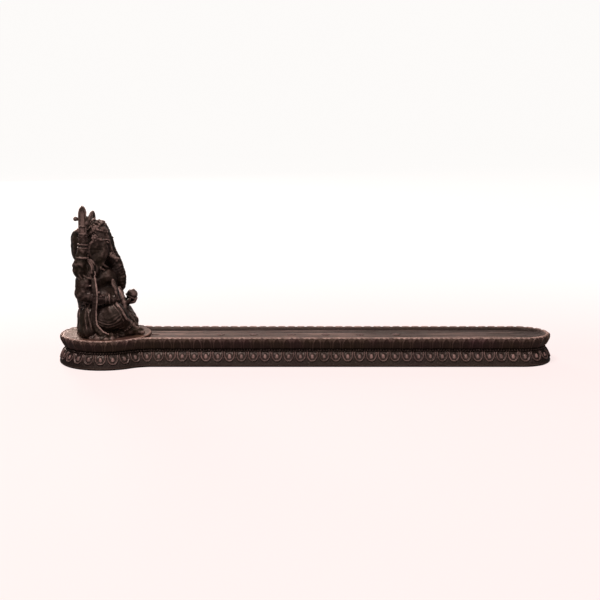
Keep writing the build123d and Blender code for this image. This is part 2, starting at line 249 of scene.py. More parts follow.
def petal_band(name, prof, pitch, inset, z_root, z_tip, strength, worn_and_lit=1.0):
    prof = np.array(prof)
    nrm = out_normals(prof)
    ph, real = phase(inset, pitch)
    cell = np.floor(ph)
    am = (ph - cell - 0.5) * real
    arc = np.concatenate([[0], np.cumsum(np.linalg.norm(np.diff(prof, axis=0), axis=1))])
    order = np.argsort(prof[:, 1])
    v_root = np.interp(z_root, prof[order, 1], arc[order])
    v_tip = np.interp(z_tip, prof[order, 1], arc[order])
    height = abs(v_tip - v_root)
    vary = noise3(np.column_stack([cell, cell * 0, cell * 0]), 5, 0.91)
    disp = np.zeros((len(prof), NCOL))
    wear_and_light = np.zeros_like(disp)
    for j in range(len(prof)):
        b = (arc[j] - v_root) * (1 if v_tip > v_root else -1)
        if b < -0.6:
            disp[j] = -0.12
            continue
        bb = np.full(NCOL, max(b, 0.0))
        r, edge = petal_relief(am, bb, real * 0.485, height, 0.58 if worn_and_lit > 0.6 else 0.0)
        # the tip of a second row showing in each gap
        am2 = real * 0.5 - np.abs(am)
        tip2 = (height * 1.04 - b) * 0.55 - am2 * 1.15
        second = 0.20 * smooth((tip2 + 0.05) / 0.3) * smooth((b - height * 0.45) / 0.8) * (b < height * 1.04)
        h = np.maximum(r * (1 + 0.18 * vary), second)
        fade = smooth((b + 0.6) / 0.7) * smooth((height * 1.06 - b) / 0.25)
        h = np.where(edge > 0.2, np.maximum(h, 0.12), h)
        disp[j] = -0.12 + (h + 0.12) * fade * strength
        if 0.5 < b < height * 0.98:
            disp[j] = np.where(edge > 0.2, np.maximum(disp[j], 0.06), disp[j])
        boss = np.exp(-(np.abs(am) / 1.1) ** 2.6 - (np.abs(b - height * 0.5) / (height * 0.27)) ** 2.8)
        # paler on the raised petal faces and most on each boss: rubbed wear and a painted highlight together
        wear_and_light[j] = np.clip(np.clip((disp[j] - 0.22) / 0.35, 0, 1) * (0.72 + 0.8 * boss * (worn_and_lit > 0.6)), 0, 1.2) * fade * worn_and_lit * (1 + 0.35 * vary)
    disp[0], disp[-1] = -0.15, -0.15
    outer = sweep_points(prof, nrm, disp)
    inner = sweep_points(prof, nrm, np.full_like(disp, -0.45))[::-1]
    pts = np.concatenate([outer, inner])
    nr = len(pts)
    w = np.concatenate([wear_and_light, np.zeros_like(wear_and_light)])
    o = fast_mesh(name, pts.reshape(-1, 3), [grid_quads(nr, NCOL, True)], w.ravel())
    return o


OUTER = [(0.9, 0.0), (0.15, 0.6), (0.0, 1.4), (0.45, 2.9), (1.25, 4.7), (2.1, 6.4), (3.1, 7.5),
         (3.7, 8.3), (3.3, 9.1), (2.2, 10.8), (1.2, 12.9), (1.0, 13.7), (1.1, 14.6), (1.5, 15.3)]

lower = petal_band("lower_lotus_petals_sculpted", spline([(0.30, 2.45), (0.45, 2.9), (1.25, 4.7), (2.1, 6.4), (3.05, 7.45)], 0.16),
                   PITCH_DOWN, 2.1, 7.5, 2.75, 1.0)
# the upper band's paler marks are scaled to 0.45: less painted highlight where its undercut face lies in shade
upper = petal_band("upper_lotus_petals_sculpted", spline([(3.1, 9.4), (2.2, 10.8), (1.2, 12.9), (1.0, 13.7), (1.08, 14.6), (1.35, 15.15)], 0.18),
                   PITCH_UP, 2.2, 9.7, 15.1, 0.85, 0.45)


# ------------------------------------------------------------ the tray casting
def tray():
    ph, real = phase(2.2, PITCH_UP)
    a = ph - np.floor(ph) - 0.5
    gap = smooth((np.abs(a) - 0.26) / 0.24)                   # 1 between two petals
    out = spline(OUTER, 0.28)
    nrm = out_normals(out)
    disp = np.zeros((len(out), NCOL))
    cols = np.column_stack([P0, np.zeros(NCOL)])
    for j in range(len(out)):
        z = out[j, 1]
        cols[:, 2] = z
        disp[j] = 0.05 * noise3(cols, 3, 3.2) * smooth(z / 1.5)
        disp[j] -= 0.42 * gap * smooth((z - 13.6) / 1.3)
        disp[j] += 0.16 * (1 - gap) * smooth((z - 13.9) / 1.0)
    rows = [sweep_points(out, nrm, disp)]
    wear_and_light = [np.clip(0.42 * np.exp(-((out[:, 1] - 1.1) / 0.55) ** 2), 0, 1)[:, None] * np.ones(NCOL)]
    # painted highlight along the outer top of the crest, strongest over the petal tips
    wear_and_light[0] += smooth((out[:, 1] - 14.5) / 0.7)[:, None] * (1.3 + 1.0 * (1 - gap))
    # over the crest and down the trough wall; on the lobe the ground disc lies against it
    tray_in = [(1.75, 15.42), (2.1, 15.44), (2.45, 15.36), (2.75, 15.12), (3.1, 14.8), (3.5, 14.42), (3.9, 14.05), (4.2, FLOOR_Z)]
    lobe_in = [(1.56, 15.36), (1.64, 15.34), (1.72, 15.26), (1.78, 15.1), (1.8, 14.9), (1.8, 14.6), (1.8, 14.2), (1.8, FLOOR_Z)]
    fine = noise3(np.column_stack([P0, np.zeros(NCOL)]), 9, 1.6)
    for (ti, tz), (li, lz) in zip(tray_in, lobe_in):
        ins = ti + (li - ti) * LOBE_W
        z = tz + (lz - tz) * LOBE_W
        if tz > FLOOR_Z + 0.3:
            k = smooth((tz - 14.6) / 0.7)
            z = z - 0.36 * gap * k * smooth((2.6 - ti) / 1.0) - 0.06 * gap * k + 0.04 * fine
            ins = ins - 0.10 * (1 - gap) * (1 - k) * (1 - LOBE_W)
        rows.append(np.column_stack([at_inset(ins), z])[None])
        # painted highlight: a bright band along the crest line, near an inset of 2 mm
        crest = np.exp(-((ti - 2.0) / 0.55) ** 2)
        wear_and_light.append(((0.16 * smooth((tz - 13.6) / 1.1) + 2.6 * crest) * (0.75 + 0.25 * (1 - gap)))[None] * np.ones((1, NCOL)))
    grid = np.concatenate(rows)
    # under the foot: in to the felt's recess and up its wall
    foot = np.array([np.column_stack([at_inset(i), np.full(NCOL, z)]) for i, z in ((2.6, 0.8), (2.6, 0.0))])
    grid = np.concatenate([foot, grid])
    wear_and_light = np.concatenate([np.zeros((2, NCOL))] + wear_and_light)
    nr = len(grid)
    verts = [grid.reshape(-1, 3)]
    polys = [grid_quads(nr, NCOL, False)]
    # recess ceiling
    loop = [Vector((x, y, 0)) for x, y in grid[0, :, :2]]
    _, _, tris, _, _, _ = delaunay_2d_cdt([Vector((q[0], q[1])) for q in loop], [(i, (i + 1) % NCOL) for i in range(NCOL)], [], 1, 1e-7)
    tris = np.array(tris, np.int32)
    p = grid[0, :, :2]
    area = ((p[tris[:, 1], 0] - p[tris[:, 0], 0]) * (p[tris[:, 2], 1] - p[tris[:, 0], 1])
            - (p[tris[:, 1], 1] - p[tris[:, 0], 1]) * (p[tris[:, 2], 0] - p[tris[:, 0], 0]))
    tris = np.where((area > 0)[:, None], tris[:, ::-1], tris)
    polys.append(tris)
    # trough floor, with streaks along the tray and the mouth of the stick hole
    base = (nr - 1) * NCOL
    edge = grid[-1, :, :2]
    hx, hn = -79.3, 40
    th = np.linspace(0, 2 * math.pi, hn, endpoint=False)
    hole = np.column_stack([hx + 2.2 * np.cos(th), 1.1 * np.sin(th)])
    gx, gy = np.meshgrid(np.arange(-86.0, 108.5, 0.8), np.arange(-11.9, 12.0, 0.34))
    gx = gx + 0.4 * (np.arange(gx.shape[0]) % 2)[:, None]
    inner = np.column_stack([gx.ravel(), gy.ravel()])
    r_end = np.hypot(np.maximum(inner[:, 0] - XE, 0), inner[:, 1])
    keep = (r_end < TRAY_HALF - 4.2 - 0.35) & (((inner[:, 0] - hx) / 2.5) ** 2 + (inner[:, 1] / 1.4) ** 2 > 1)
    inner = inner[keep]
    flat = np.vstack([edge, hole, inner])
    edges = [(i, (i + 1) % NCOL) for i in range(NCOL)] + [(NCOL + i, NCOL + (i + 1) % hn) for i in range(hn)]
    vo, _, fo, ov, _, _ = delaunay_2d_cdt([Vector(q) for q in flat], edges, [], 1, 1e-6)
    vo = np.array([tuple(q) for q in vo])
    fo = np.array(fo, np.int32)
    cen = vo[fo].mean(1)
    fo = fo[((cen[:, 0] - hx) / 2.2) ** 2 + (cen[:, 1] / 1.1) ** 2 > 0.985]
    src = np.array([o[0] if len(o) else -1 for o in ov], np.int64)
    # streaks run with the wall, so they turn round the tray's end
    d_wall = np.where(vo[:, 0] > XE, TRAY_HALF - np.hypot(vo[:, 0] - XE, vo[:, 1]), TRAY_HALF - np.abs(vo[:, 1]))
    along = vo[:, 0]
    q = np.column_stack([along / 26.0, d_wall, np.sign(vo[:, 1]) * 3.0])
    streak = noise3(q, 21, 0.62) * 0.075 + noise3(q * [1, 1, 1], 22, 1.4) * 0.08
    streak = streak - 0.05 * np.exp(-((d_wall - 5.6) / 0.3) ** 2) - 0.05 * np.exp(-((d_wall - 7.4) / 0.25) ** 2)
    near_hole = ((vo[:, 0] - hx) / 2.2) ** 2 + (vo[:, 1] / 1.1) ** 2
    streak = streak * smooth((d_wall - 4.25) / 0.7) * smooth((near_hole - 1.0) / 1.2) + 0.14 * np.exp(-((np.sqrt(near_hole) - 1.12) / 0.14) ** 2) * (near_hole > 1.0005)
    zz = FLOOR_Z + streak
    remap = np.zeros(len(vo), np.int32)
    offset = len(verts[0])
    extra, ew, count = [], [], 0
    for k in range(len(vo)):
        if 0 <= src[k] < NCOL:
            remap[k] = base + src[k]
        else:
            remap[k] = offset + count
            z = FLOOR_Z if NCOL <= src[k] < NCOL + hn else zz[k]
            extra.append((vo[k, 0], vo[k, 1], z))
            # raised streaks marked paler: wear and a painted highlight together
            ew.append(0.36 + 4.4 * (z - FLOOR_Z))
            count += 1
    verts.append(np.array(extra))
    tri = remap[fo]
    allv = np.concatenate(verts)
    pa = allv[tri]
    area = (pa[:, 1, 0] - pa[:, 0, 0]) * (pa[:, 2, 1] - pa[:, 0, 1]) - (pa[:, 1, 1] - pa[:, 0, 1]) * (pa[:, 2, 0] - pa[:, 0, 0])
    tri = np.where((area < 0)[:, None], tri[:, ::-1], tri)
    polys.append(tri)
    # the blind stick hole
    first = {int(src[k]): int(remap[k]) for k in range(len(vo)) if NCOL <= src[k] < NCOL + hn}
    ring0 = np.array([first[NCOL + i] for i in range(hn)], np.int32)
    t = math.radians(30)
    axis = np.array([math.cos(t), 0, math.sin(t)])
    tube, n0 = [], len(allv)
    for s in (0.5, 0.0):
        c = np.array([hx, 0, FLOOR_Z]) - axis * (12 if s == 0.0 else 6)
        u = np.array([-math.sin(t), 0, math.cos(t)])
        # the ring's own x runs down the slope, so it lines up with the mouth
        ring = c - u * (1.1 * np.cos(th))[:, None] + np.array([0, 1, 0]) * (1.1 * np.sin(th))[:, None]
        tube.append(ring)
    tube.append((np.array([hx, 0, FLOOR_Z]) - axis * 12)[None])
    verts.append(np.concatenate(tube))
    r1, r2, cap = n0 + np.arange(hn), n0 + hn + np.arange(hn), n0 + 2 * hn
    k2 = (np.arange(hn) + 1) % hn
    polys.append(np.stack([ring0, ring0[k2], r1[k2], r1], 1))
    polys.append(np.stack([r1, r1[k2], r2[k2], r2], 1))
    polys.append(np.stack([r2, r2[k2], np.full(hn, cap)], 1))
    w = np.concatenate([wear_and_light.ravel(), ew, np.zeros(2 * hn + 1)])
    return fast_mesh("tray_casting_sculpted", np.concatenate(verts), polys, np.clip(w, 0, 1))


tray_obj = tray()


# ------------------------------------------- beads, ground disc, rosettes
def bead_moulding():
    p = at_inset(3.28)
    d = np.linalg.norm(np.roll(p, -1, 0) - p, axis=1)
    s = np.concatenate([[0], np.cumsum(d)])
    n = round(s[-1] / 1.42)
    per = 10
    q = np.linspace(0, s[-1], n * per, endpoint=False)
    pc = np.vstack([p, p[:1]])
    nc = np.vstack([N0, N0[:1]])
    x, y = np.interp(q, s, pc[:, 0]), np.interp(q, s, pc[:, 1])
    nx, ny = np.interp(q, s, nc[:, 0]), np.interp(q, s, nc[:, 1])
    ln = np.hypot(nx, ny)
    nx, ny = nx / ln, ny / ln
    a = (np.arange(n * per) % per) / per - 0.5
    r = np.sqrt(np.clip(0.62 ** 2 - (a * 1.42) ** 2, 0.26 ** 2, None))
    k = 12
    t = np.linspace(0, 2 * math.pi, k, endpoint=False)
    rows = []
    for ang in t:
        o, u = r * math.cos(ang), r * math.sin(ang)
        rows.append(np.column_stack([x + nx * (o - 0.02), y + ny * (o - 0.02), 8.33 + u]))
    rows = np.array(rows)
    nr, m = len(rows), n * per
    # outer half of each bead marked paler: wear and a painted highlight together
    wear_and_light = np.clip((r - 0.4) / 0.3, 0, 1)[None] * np.clip(np.cos(t), 0, 1)[:, None]
    return fast_mesh("waist_beads_sculpted", rows.reshape(-1, 3), [grid_quads(nr, m, True)], wear_and_light.ravel() * 0.5)


beads = bead_moulding()


def ground_disc():
    n = 480
    t = np.linspace(0, 2 * math.pi, n, endpoint=False)
    prof = [(0.0, DISC_TOP)] + [(r, DISC_TOP) for r in np.arange(0.8, 22.0, 0.7)]
    prof += [(22.2, DISC_TOP + 0.0), (22.5, DISC_TOP + 0.04), (22.8, DISC_TOP + 0.03), (23.05, DISC_TOP - 0.08), (23.2, DISC_TOP - 0.28),
             (23.22, DISC_TOP - 0.7), (23.2, DISC_TOP - 1.15), (23.25, FLOOR_Z + 0.12), (23.3, FLOOR_Z + 0.01), (22.6, FLOOR_Z + 0.01)]
    pts, wear_and_light = [], []
    for r, z in prof[1:]:
        q = np.column_stack([r * np.cos(t), r * np.sin(t), np.full(n, z)])
        h = 0.09 * noise3(q, 31, 3.6) + 0.05 * noise3(q, 32, 1.5)
        h = h * smooth((22.6 - r) / 1.0) if r < 22.6 else h * 0.4 * (z > 14.6)
        q[:, 2] += h
        pts.append(q + [XC, 0, 0])
        # the disc's top edge marked paler: wear and a painted highlight together
        wear_and_light.append(np.full(n, 0.1 + 0.9 * math.exp(-((r - 22.9) / 0.4) ** 2) * (z > 14.9)) + h * 1.5)
    nr = len(pts)
    verts = [np.concatenate(pts), np.array([[XC, 0, DISC_TOP], [XC, 0, FLOOR_Z + 0.01]])]
    c = np.arange(n)
    c2 = (c + 1) % n
    top, bot = nr * n, nr * n + 1
    polys = [grid_quads(nr, n, False, flip=True), np.stack([np.full(n, top), c, c2], 1),
             np.stack([np.full(n, bot), (nr - 1) * n + c2, (nr - 1) * n + c], 1)]
    w = np.concatenate([np.concatenate(wear_and_light), [0.1, 0]])
    return fast_mesh("ground_disc_sculpted", np.concatenate(verts), polys, np.clip(w, 0, 1))


disc_obj = ground_disc()


def rosettes():
    n, rings = 96, 18
    t = np.linspace(0, 2 * math.pi, n, endpoint=False)
    verts, polys, wear_and_light = [], [], []
    start = 0
    for x in ROSETTE_X:
        lobe = np.abs(np.cos(4 * t))
        rim = 2.35 * (0.86 + 0.14 * np.sqrt(lobe))
        pts = []
        for i in range(1, rings + 1):
            f = i / rings
            r = rim * min(f, 0.97) if i < rings else rim
            h = 0.30 * smooth((1 - f) / 0.16) + 0.16 * np.exp(-((f * 2.35 - 0.0) / 0.55) ** 2)
            h = h - 0.20 * math.exp(-((f - 0.36) / 0.07) ** 2)
            h = h - 0.16 * (1 - np.sqrt(lobe)) * smooth((f - 0.38) / 0.15) * smooth((1.0 - f) / 0.1)
            h = h + 0.07 * np.exp(-((f - 0.72) / 0.14) ** 2) * lobe
            z = FLOOR_Z + (h if i < rings else np.full(n, -0.12))
            pts.append(np.column_stack([x + r * np.cos(t), r * np.sin(t), np.broadcast_to(z, (n,))]))
            # raised parts of each rosette marked paler: wear and a painted highlight together
            wear_and_light.append(np.clip(np.broadcast_to(h, (n,)) * 2.4, 0, 1) if i < rings else np.zeros(n))
        pts.append(np.column_stack([x + 1.9 * np.cos(t), 1.9 * np.sin(t), np.full(n, FLOOR_Z - 0.12)]))
        wear_and_light.append(np.zeros(n))
        nr = len(pts)
        verts += [np.concatenate(pts), np.array([[x, 0, FLOOR_Z + 0.46], [x, 0, FLOOR_Z - 0.12]])]
        wear_and_light.append(np.array([1.0, 0.0]))
        c = np.arange(n)
        c2 = (c + 1) % n
        polys += [grid_quads(nr, n, False, flip=True) + start, np.stack([np.full(n, nr * n), c, c2], 1) + start,
                  np.stack([np.full(n, nr * n + 1), (nr - 1) * n + c2, (nr - 1) * n + c], 1) + start]
        start += nr * n + 2
    return fast_mesh("rosettes_sculpted", np.concatenate(verts), polys, np.concatenate(wear_and_light))


rosette_obj = rosettes()


# =================================================================== the figure
# It is modelled as one distance field on a fine grid, in mm, and then divided
# along the joins of its CAD nodes, so that each node has its own closed piece.
H = 0.22
G0 = np.array([-126.0, -23.6, 13.6])
G1 = np.array([-81.5, 23.6, 85.6])
GN = np.ceil((G1 - G0) / H).astype(int)
AX = [G0[i] + H * np.arange(GN[i]) for i in range(3)]
FAR = 3.0
NODES = {}


def window(lo, hi, pad):
    a = np.clip(np.floor((np.asarray(lo) - pad - G0) / H).astype(int), 0, GN)
    b = np.clip(np.ceil((np.asarray(hi) + pad - G0) / H).astype(int) + 1, 0, GN)
    return tuple(slice(int(a[i]), int(b[i])) for i in range(3))


def coords(w):
    return (AX[0][w[0]].astype(F32)[:, None, None], AX[1][w[1]].astype(F32)[None, :, None], AX[2][w[2]].astype(F32)[None, None, :])


def smin(a, b, k):
    if k <= 0:
        return np.minimum(a, b)
    h = np.maximum(k - np.abs(a - b), 0) / k
    return np.minimum(a, b) - h * h * k * 0.25


def smax(a, b, k):
    return -smin(-a, -b, k)


class Shape:
    """A distance function with the box that holds it."""
    def __init__(self, fn, lo, hi):
        self.fn, self.lo, self.hi = fn, np.asarray(lo, float), np.asarray(hi, float)


def rot(rx=0, ry=0, rz=0):
    a, b, c = (math.radians(t) for t in (rx, ry, rz))
    X = np.array([[1, 0, 0], [0, math.cos(a), -math.sin(a)], [0, math.sin(a), math.cos(a)]])
    Y = np.array([[math.cos(b), 0, math.sin(b)], [0, 1, 0], [-math.sin(b), 0, math.cos(b)]])
    Z = np.array([[math.cos(c), -math.sin(c), 0], [math.sin(c), math.cos(c), 0], [0, 0, 1]])
    return (Z @ Y @ X).astype(F32)


def ell(c, r, R=None):
    c, r = np.array(c, F32), np.array(r, F32)

    def fn(X, Y, Z):
        x, y, z = X - c[0], Y - c[1], Z - c[2]
        if R is not None:
            x, y, z = (R[0, 0] * x + R[1, 0] * y + R[2, 0] * z, R[0, 1] * x + R[1, 1] * y + R[2, 1] * z,
                       R[0, 2] * x + R[1, 2] * y + R[2, 2] * z)
        k0 = np.sqrt((x / r[0]) ** 2 + (y / r[1]) ** 2 + (z / r[2]) ** 2)
        k1 = np.sqrt((x / r[0] ** 2) ** 2 + (y / r[1] ** 2) ** 2 + (z / r[2] ** 2) ** 2)
        return k0 * (k0 - 1) / np.maximum(k1, 1e-4)
    e = r if R is None else np.full(3, r.max())
    return Shape(fn, c - e, c + e)


def seg_t(X, Y, Z, a, b):
    d = b - a
    t = ((X - a[0]) * d[0] + (Y - a[1]) * d[1] + (Z - a[2]) * d[2]) / max(float(d @ d), 1e-6)
    return np.clip(t, 0, 1), d


def limb(pts, k=0.0):
    p = np.array(pts, F32)

    def fn(X, Y, Z):
        out = None
        for q, s in zip(p, p[1:]):
            t, d = seg_t(X, Y, Z, q[:3], s[:3])
            dd = np.sqrt((X - q[0] - t * d[0]) ** 2 + (Y - q[1] - t * d[1]) ** 2 + (Z - q[2] - t * d[2]) ** 2) - (q[3] + (s[3] - q[3]) * t)
            out = dd if out is None else smin(out, dd, k)
        return out
    r = p[:, 3].max()
    return Shape(fn, p[:, :3].min(0) - r, p[:, :3].max(0) + r)


def strap(pts, hw, ht, normal):
    """Flat band through points, hw half wide and ht half thick along normal."""
    p, nrm = np.array(pts, F32), np.array(normal, F32)

    def fn(X, Y, Z):
        out = None
        for q, s in zip(p, p[1:]):
            t, d = seg_t(X, Y, Z, q, s)
            u = d / np.linalg.norm(d)
            n = nrm - (nrm @ u) * u
            n = n / np.linalg.norm(n)
            w = np.cross(u, n)
            x, y, z = X - q[0] - t * d[0], Y - q[1] - t * d[1], Z - q[2] - t * d[2]
            dn, dw = np.abs(x * n[0] + y * n[1] + z * n[2]) - ht * 0.5, np.abs(x * w[0] + y * w[1] + z * w[2]) - hw + ht * 0.5
            du = np.abs(x * u[0] + y * u[1] + z * u[2])
            dd = np.sqrt(np.maximum(dn, 0) ** 2 + np.maximum(dw, 0) ** 2 + du ** 2) + np.minimum(np.maximum(dn, dw), 0) - ht * 0.5
            out = dd if out is None else smin(out, dd, 0.3)
        return out
    return Shape(fn, p.min(0) - hw, p.max(0) + hw)


def ring(c, axis, R, r, flat=1.0):
    """Torus; flat over 1 makes a band that is broad along its axis."""
    c, ax = np.array(c, F32), np.array(axis, F32)
    ax = ax / np.linalg.norm(ax)

    def fn(X, Y, Z):
        x, y, z = X - c[0], Y - c[1], Z - c[2]
        h = x * ax[0] + y * ax[1] + z * ax[2]
        q = np.sqrt(np.maximum(x * x + y * y + z * z - h * h, 0)) - R
        return (np.sqrt(q * q + (h / flat) ** 2) - r)
    e = R + r * flat
    return Shape(fn, c - e, c + e)


def node(name, *shapes, k=0.8):
    lo = np.min([s.lo for s in shapes], 0) - FAR
    hi = np.max([s.hi for s in shapes], 0) + FAR
    w = window(lo, hi, 1.5)
    n = {"w": w, "F": np.full([s.stop - s.start for s in w], FAR, F32)}
    NODES[name] = n
    for s in shapes:
        put(name, s, k)
    return n


def inner(n, s, pad):
    w, v = n["w"], window(s.lo, s.hi, pad)
    v = tuple(slice(max(v[i].start, w[i].start), min(v[i].stop, w[i].stop)) for i in range(3))
    if any(q.stop <= q.start for q in v):
        return None, None
    return v, tuple(slice(v[i].start - w[i].start, v[i].stop - w[i].start) for i in range(3))


def put(name, s, k=0.5):
    n = NODES[name]
    v, l = inner(n, s, 2.6)
    if v is not None:
        n["F"][l] = smin(n["F"][l], s.fn(*coords(v)), k)


def cut(name, s, k=0.4):
    n = NODES[name]
    v, l = inner(n, s, 2.6)
    if v is not None:
        n["F"][l] = smax(n["F"][l], -s.fn(*coords(v)), k)


def relief(name, s, height, width):
    """Raises (or with a negative height sinks) the surface along a thin shape."""
    n = NODES[name]
    v, l = inner(n, s, width * 3)
    if v is not None:
        d = np.maximum(s.fn(*coords(v)), 0)
        n["F"][l] -= height * np.exp(-(d / width) ** 2)


def ripple(name, fn, lo=None, hi=None):
    """Adds fn(X, Y, Z) to the field within a box."""
    n = NODES[name]
    if lo is None:
        v, l = n["w"], tuple(slice(0, q) for q in n["F"].shape)
    else:
        v, l = inner(n, Shape(None, lo, hi), 0)
    n["F"][l] += fn(*coords(v)).astype(F32)


def snap(name, x, z, s, back=0.0):
    """Where the node's surface lies on side s (-1 right, 1 left) at this x and z, moved in by back."""
    n = NODES[name]
    w = n["w"]
    i = int(np.clip(round((x - G0[0]) / H) - w[0].start, 0, n["F"].shape[0] - 1))
    k = int(np.clip(round((z - G0[2]) / H) - w[2].start, 0, n["F"].shape[2] - 1))
    col = n["F"][i, :, k]
    j = np.where(col < 0)[0]
    if len(j) == 0:
        j = np.array([int(np.argmin(col))])
    j = j.min() if s < 0 else j.max()
    return G0[1] + H * (w[1].start + j) - s * back


PAINT = []                                  # (points, radius, strength): where an edge is painted paler, as rubbed-through stain and as a painted highlight


def rub_and_highlight(pts, r=0.5, strength=1.0):
    PAINT.append((np.array([p[:3] for p in pts], float), r, strength))


def line(pts, r=0.0):
    return limb([(*p, r) for p in pts])


def both(fn):
    for s in (-1, 1):
        fn(s, "right" if s < 0 else "left")


def sm(t):
    t = np.clip(t, 0, 1)
    return t * t * (3 - 2 * t)


# ---- seat, and the cloth that spreads over the ground
FLOOR = DISC_TOP
node("seat_cushion", ell((-105.4, 0, 15.6), (14.2, 17.0, 4.6)), ell((-109.5, 0, 16.6), (10.6, 15.4, 5.6)),
     ell((-105.0, -15.2, 15.2), (7.8, 5.0, 2.6), rot(0, 0, -14)), ell((-105.0, 15.2, 15.2), (7.8, 5.0, 2.6), rot(0, 0, 14)), k=2.4)


def ground_folds(X, Y, Z):
    th, rr = np.arctan2(Y, X + 106.5), np.hypot((X + 105.5) / 14.2, Y / 18.5)
    return 0.26 * np.cos(th * 26 + 1.5 * np.sin(th * 5) + 2.0 * rr) * sm((rr - 0.55) / 0.3)


ripple("seat_cushion", ground_folds)
# zigzag hems where the cloth breaks on the ground
for s in (-1, 1):
    zig = []
    for ang, rr, hz in ((-152, .98, .5), (-141, .90, 1.5), (-131, 1.0, .5), (-120, .90, 1.7), (-112, 1.01, .5), (-103, .88, 2.2), (-96, 1.0, .6), (-88, .86, 2.4),
                        (-80, .99, .5), (-71, .88, 1.9), (-62, .96, .5), (-52, .86, 1.6), (-44, .92, .5)):
        t = math.radians(ang)
        zig.append((-105.8 + 14.0 * rr * math.cos(t), s * -17.9 * rr * math.sin(t), FLOOR + hz))
    put("seat_cushion", limb([(*p, 0.46) for p in zig], 0.2), 0.5)
    rub_and_highlight([(p[0] * 1.0 + 0.01 * (p[0] + 105.8), p[1] * 1.015, p[2] + 0.1) for p in zig], 0.6, 1.55)
    zig2 = [(p[0] - (p[0] + 105.8) * 0.09, p[1] * 0.92, p[2] + 1.1) for p in zig]
    put("seat_cushion", limb([(*p, 0.4) for p in zig2[1:-1]], 0.2), 0.5)
    zig3 = [(p[0] - (p[0] + 105.8) * 0.16, p[1] * 0.85, p[2] + 2.1) for p in zig]
    put("seat_cushion", limb([(*p, 0.36) for p in zig3[2:-2]], 0.2), 0.5)

# ---- body
node("figure_torso", ell((-105.4, 0, 33.0), (9.4, 11.6, 10.0)), ell((-109.6, 0, 44.6), (8.6, 10.8, 9.4)), ell((-112.2, 0, 34.8), (7.9, 11.6, 11.8)),
     limb([(-110.4, -10.2, 50.6, 4.3), (-110.4, 10.2, 50.6, 4.3)]), limb([(-109.4, 0, 50, 5.6), (-108.4, 0, 57, 5.6)]),
     ell((-103.4, -4.6, 46.4), (3.4, 4.6, 3.8)), ell((-103.4, 4.6, 46.4), (3.4, 4.6, 3.8)), k=2.2)
relief("figure_torso", ell((-95.8, 0, 31.6), (0.2, 0.5, 0.5)), -0.9, 0.8)                # navel
# necklaces: two beaded strands over the chest
for zc, xr, yr, drop, rb in ((52.0, 7.4, 8.2, 5.4, 0.62), (50.4, 8.4, 9.8, 8.6, 0.52)):
    m = 34
    for i in range(m):
        t = math.pi * (i + 0.5) / m
        y = -yr * math.cos(t)
        x = -109.5 + xr * math.sin(t) ** 0.8
        z = zc + 2.6 - drop * math.sin(t) ** 1.6
        put("figure_torso", ell((x, y, z), (rb, rb, rb)), 0.15)
# sacred cord from the left shoulder across the belly, under the right arm
cordp = [(-106.6, 9.4, 53.2), (-102.6, 7.4, 48.6), (-98.9, 4.6, 42.2), (-96.0, 0.2, 36.2), (-96.9, -5.2, 31.0), (-100.6, -9.6, 27.6), (-106.0, -11.6, 26.6)]
put("figure_torso", limb([(*p, 0.62) for p in cordp]), 0.25)
# snake belt of twisted strands under the belly
for i in range(40):
    t = math.radians(-118 + 236 * i / 39)
    put("figure_torso", ell((-106.6 + 10.1 * math.cos(t), 12.2 * math.sin(t), 25.4 + 1.2 * (1 - math.cos(t))), (0.95, 0.95, 0.75), rot(0, 0, math.degrees(t) + 35)), 0.2)
# spine and shoulder blades
relief("figure_torso", line([(-120.4, 0, 44), (-119.0, 0, 50), (-115.4, 0, 54.5)]), -0.55, 0.9)
both(lambda s, n: put("figure_torso", ell((-116.0, s * 5.4, 47.8), (2.2, 3.4, 4.2), rot(s * -14, 0, 0)), 1.6))

# ---- cloth over the hips, with upright pleats
node("hip_drapery", ell((-110.6, 0, 24.2), (9.7, 13.8, 9.2)), ell((-111.2, 0, 19.0), (9.2, 13.6, 6.0)), k=2.0)


def pleats(X, Y, Z):
    th = np.arctan2(Y, X + 108.6)
    wob = 0.22 * np.sin(Z * 0.42 + 3 * th) + 0.12 * np.sin(Z * 0.9 - 5 * th)
    c = np.cos(th * 31 + wob * 6)
    deep = 0.60 * (0.55 + 0.45 * np.sin(th * 9 + 1.0)) * (0.75 + 0.25 * np.sin(Z * 0.5 + th * 13))
    return (-deep * (np.abs(c) ** 0.7 * np.sign(c)) * 0.5 + 0.1) * sm((np.abs(th) - 0.9) / 0.5) * sm((34.5 - Z) / 4)


ripple("hip_drapery", pleats)
ripple("seat_cushion", pleats, (-121, -19, 17), (-108, 19, 23))
put("hip_drapery", limb([(-114.2, -11.4, 32.6, 0.7), (-117.4, -7.5, 31.6, 0.8), (-118.5, 0, 31.0, 0.8), (-117.4, 7.5, 31.6, 0.8), (-114.2, 11.4, 32.6, 0.7)]), 0.4)
put("hip_drapery", limb([(-114.8, -11.2, 30.6, 0.55), (-117.9, -6.5, 29.8, 0.6), (-118.9, 0, 29.2, 0.6), (-117.9, 6.5, 29.8, 0.6), (-114.8, 11.2, 30.6, 0.55)]), 0.4)

# ---- legs
node("right_leg", ell((-103.4, -11.6, 25.0), (9.4, 6.6, 7.0), rot(0, -14, 8)), ell((-99.2, -12.8, 27.0), (6.2, 5.8, 6.9)),
     limb([(-97.4, -11.6, 26.0, 5.2), (-94.8, -9.0, 22.0, 4.2), (-93.2, -7.4, 19.0, 3.2)]),
     limb([(-93.6, -7.8, 18.0, 2.7), (-90.2, -6.2, 17.7, 2.5), (-86.8, -4.9, 17.0, 2.0)]), ell((-95.4, -8.4, 17.0), (2.4, 2.2, 2.0)), k=1.6)


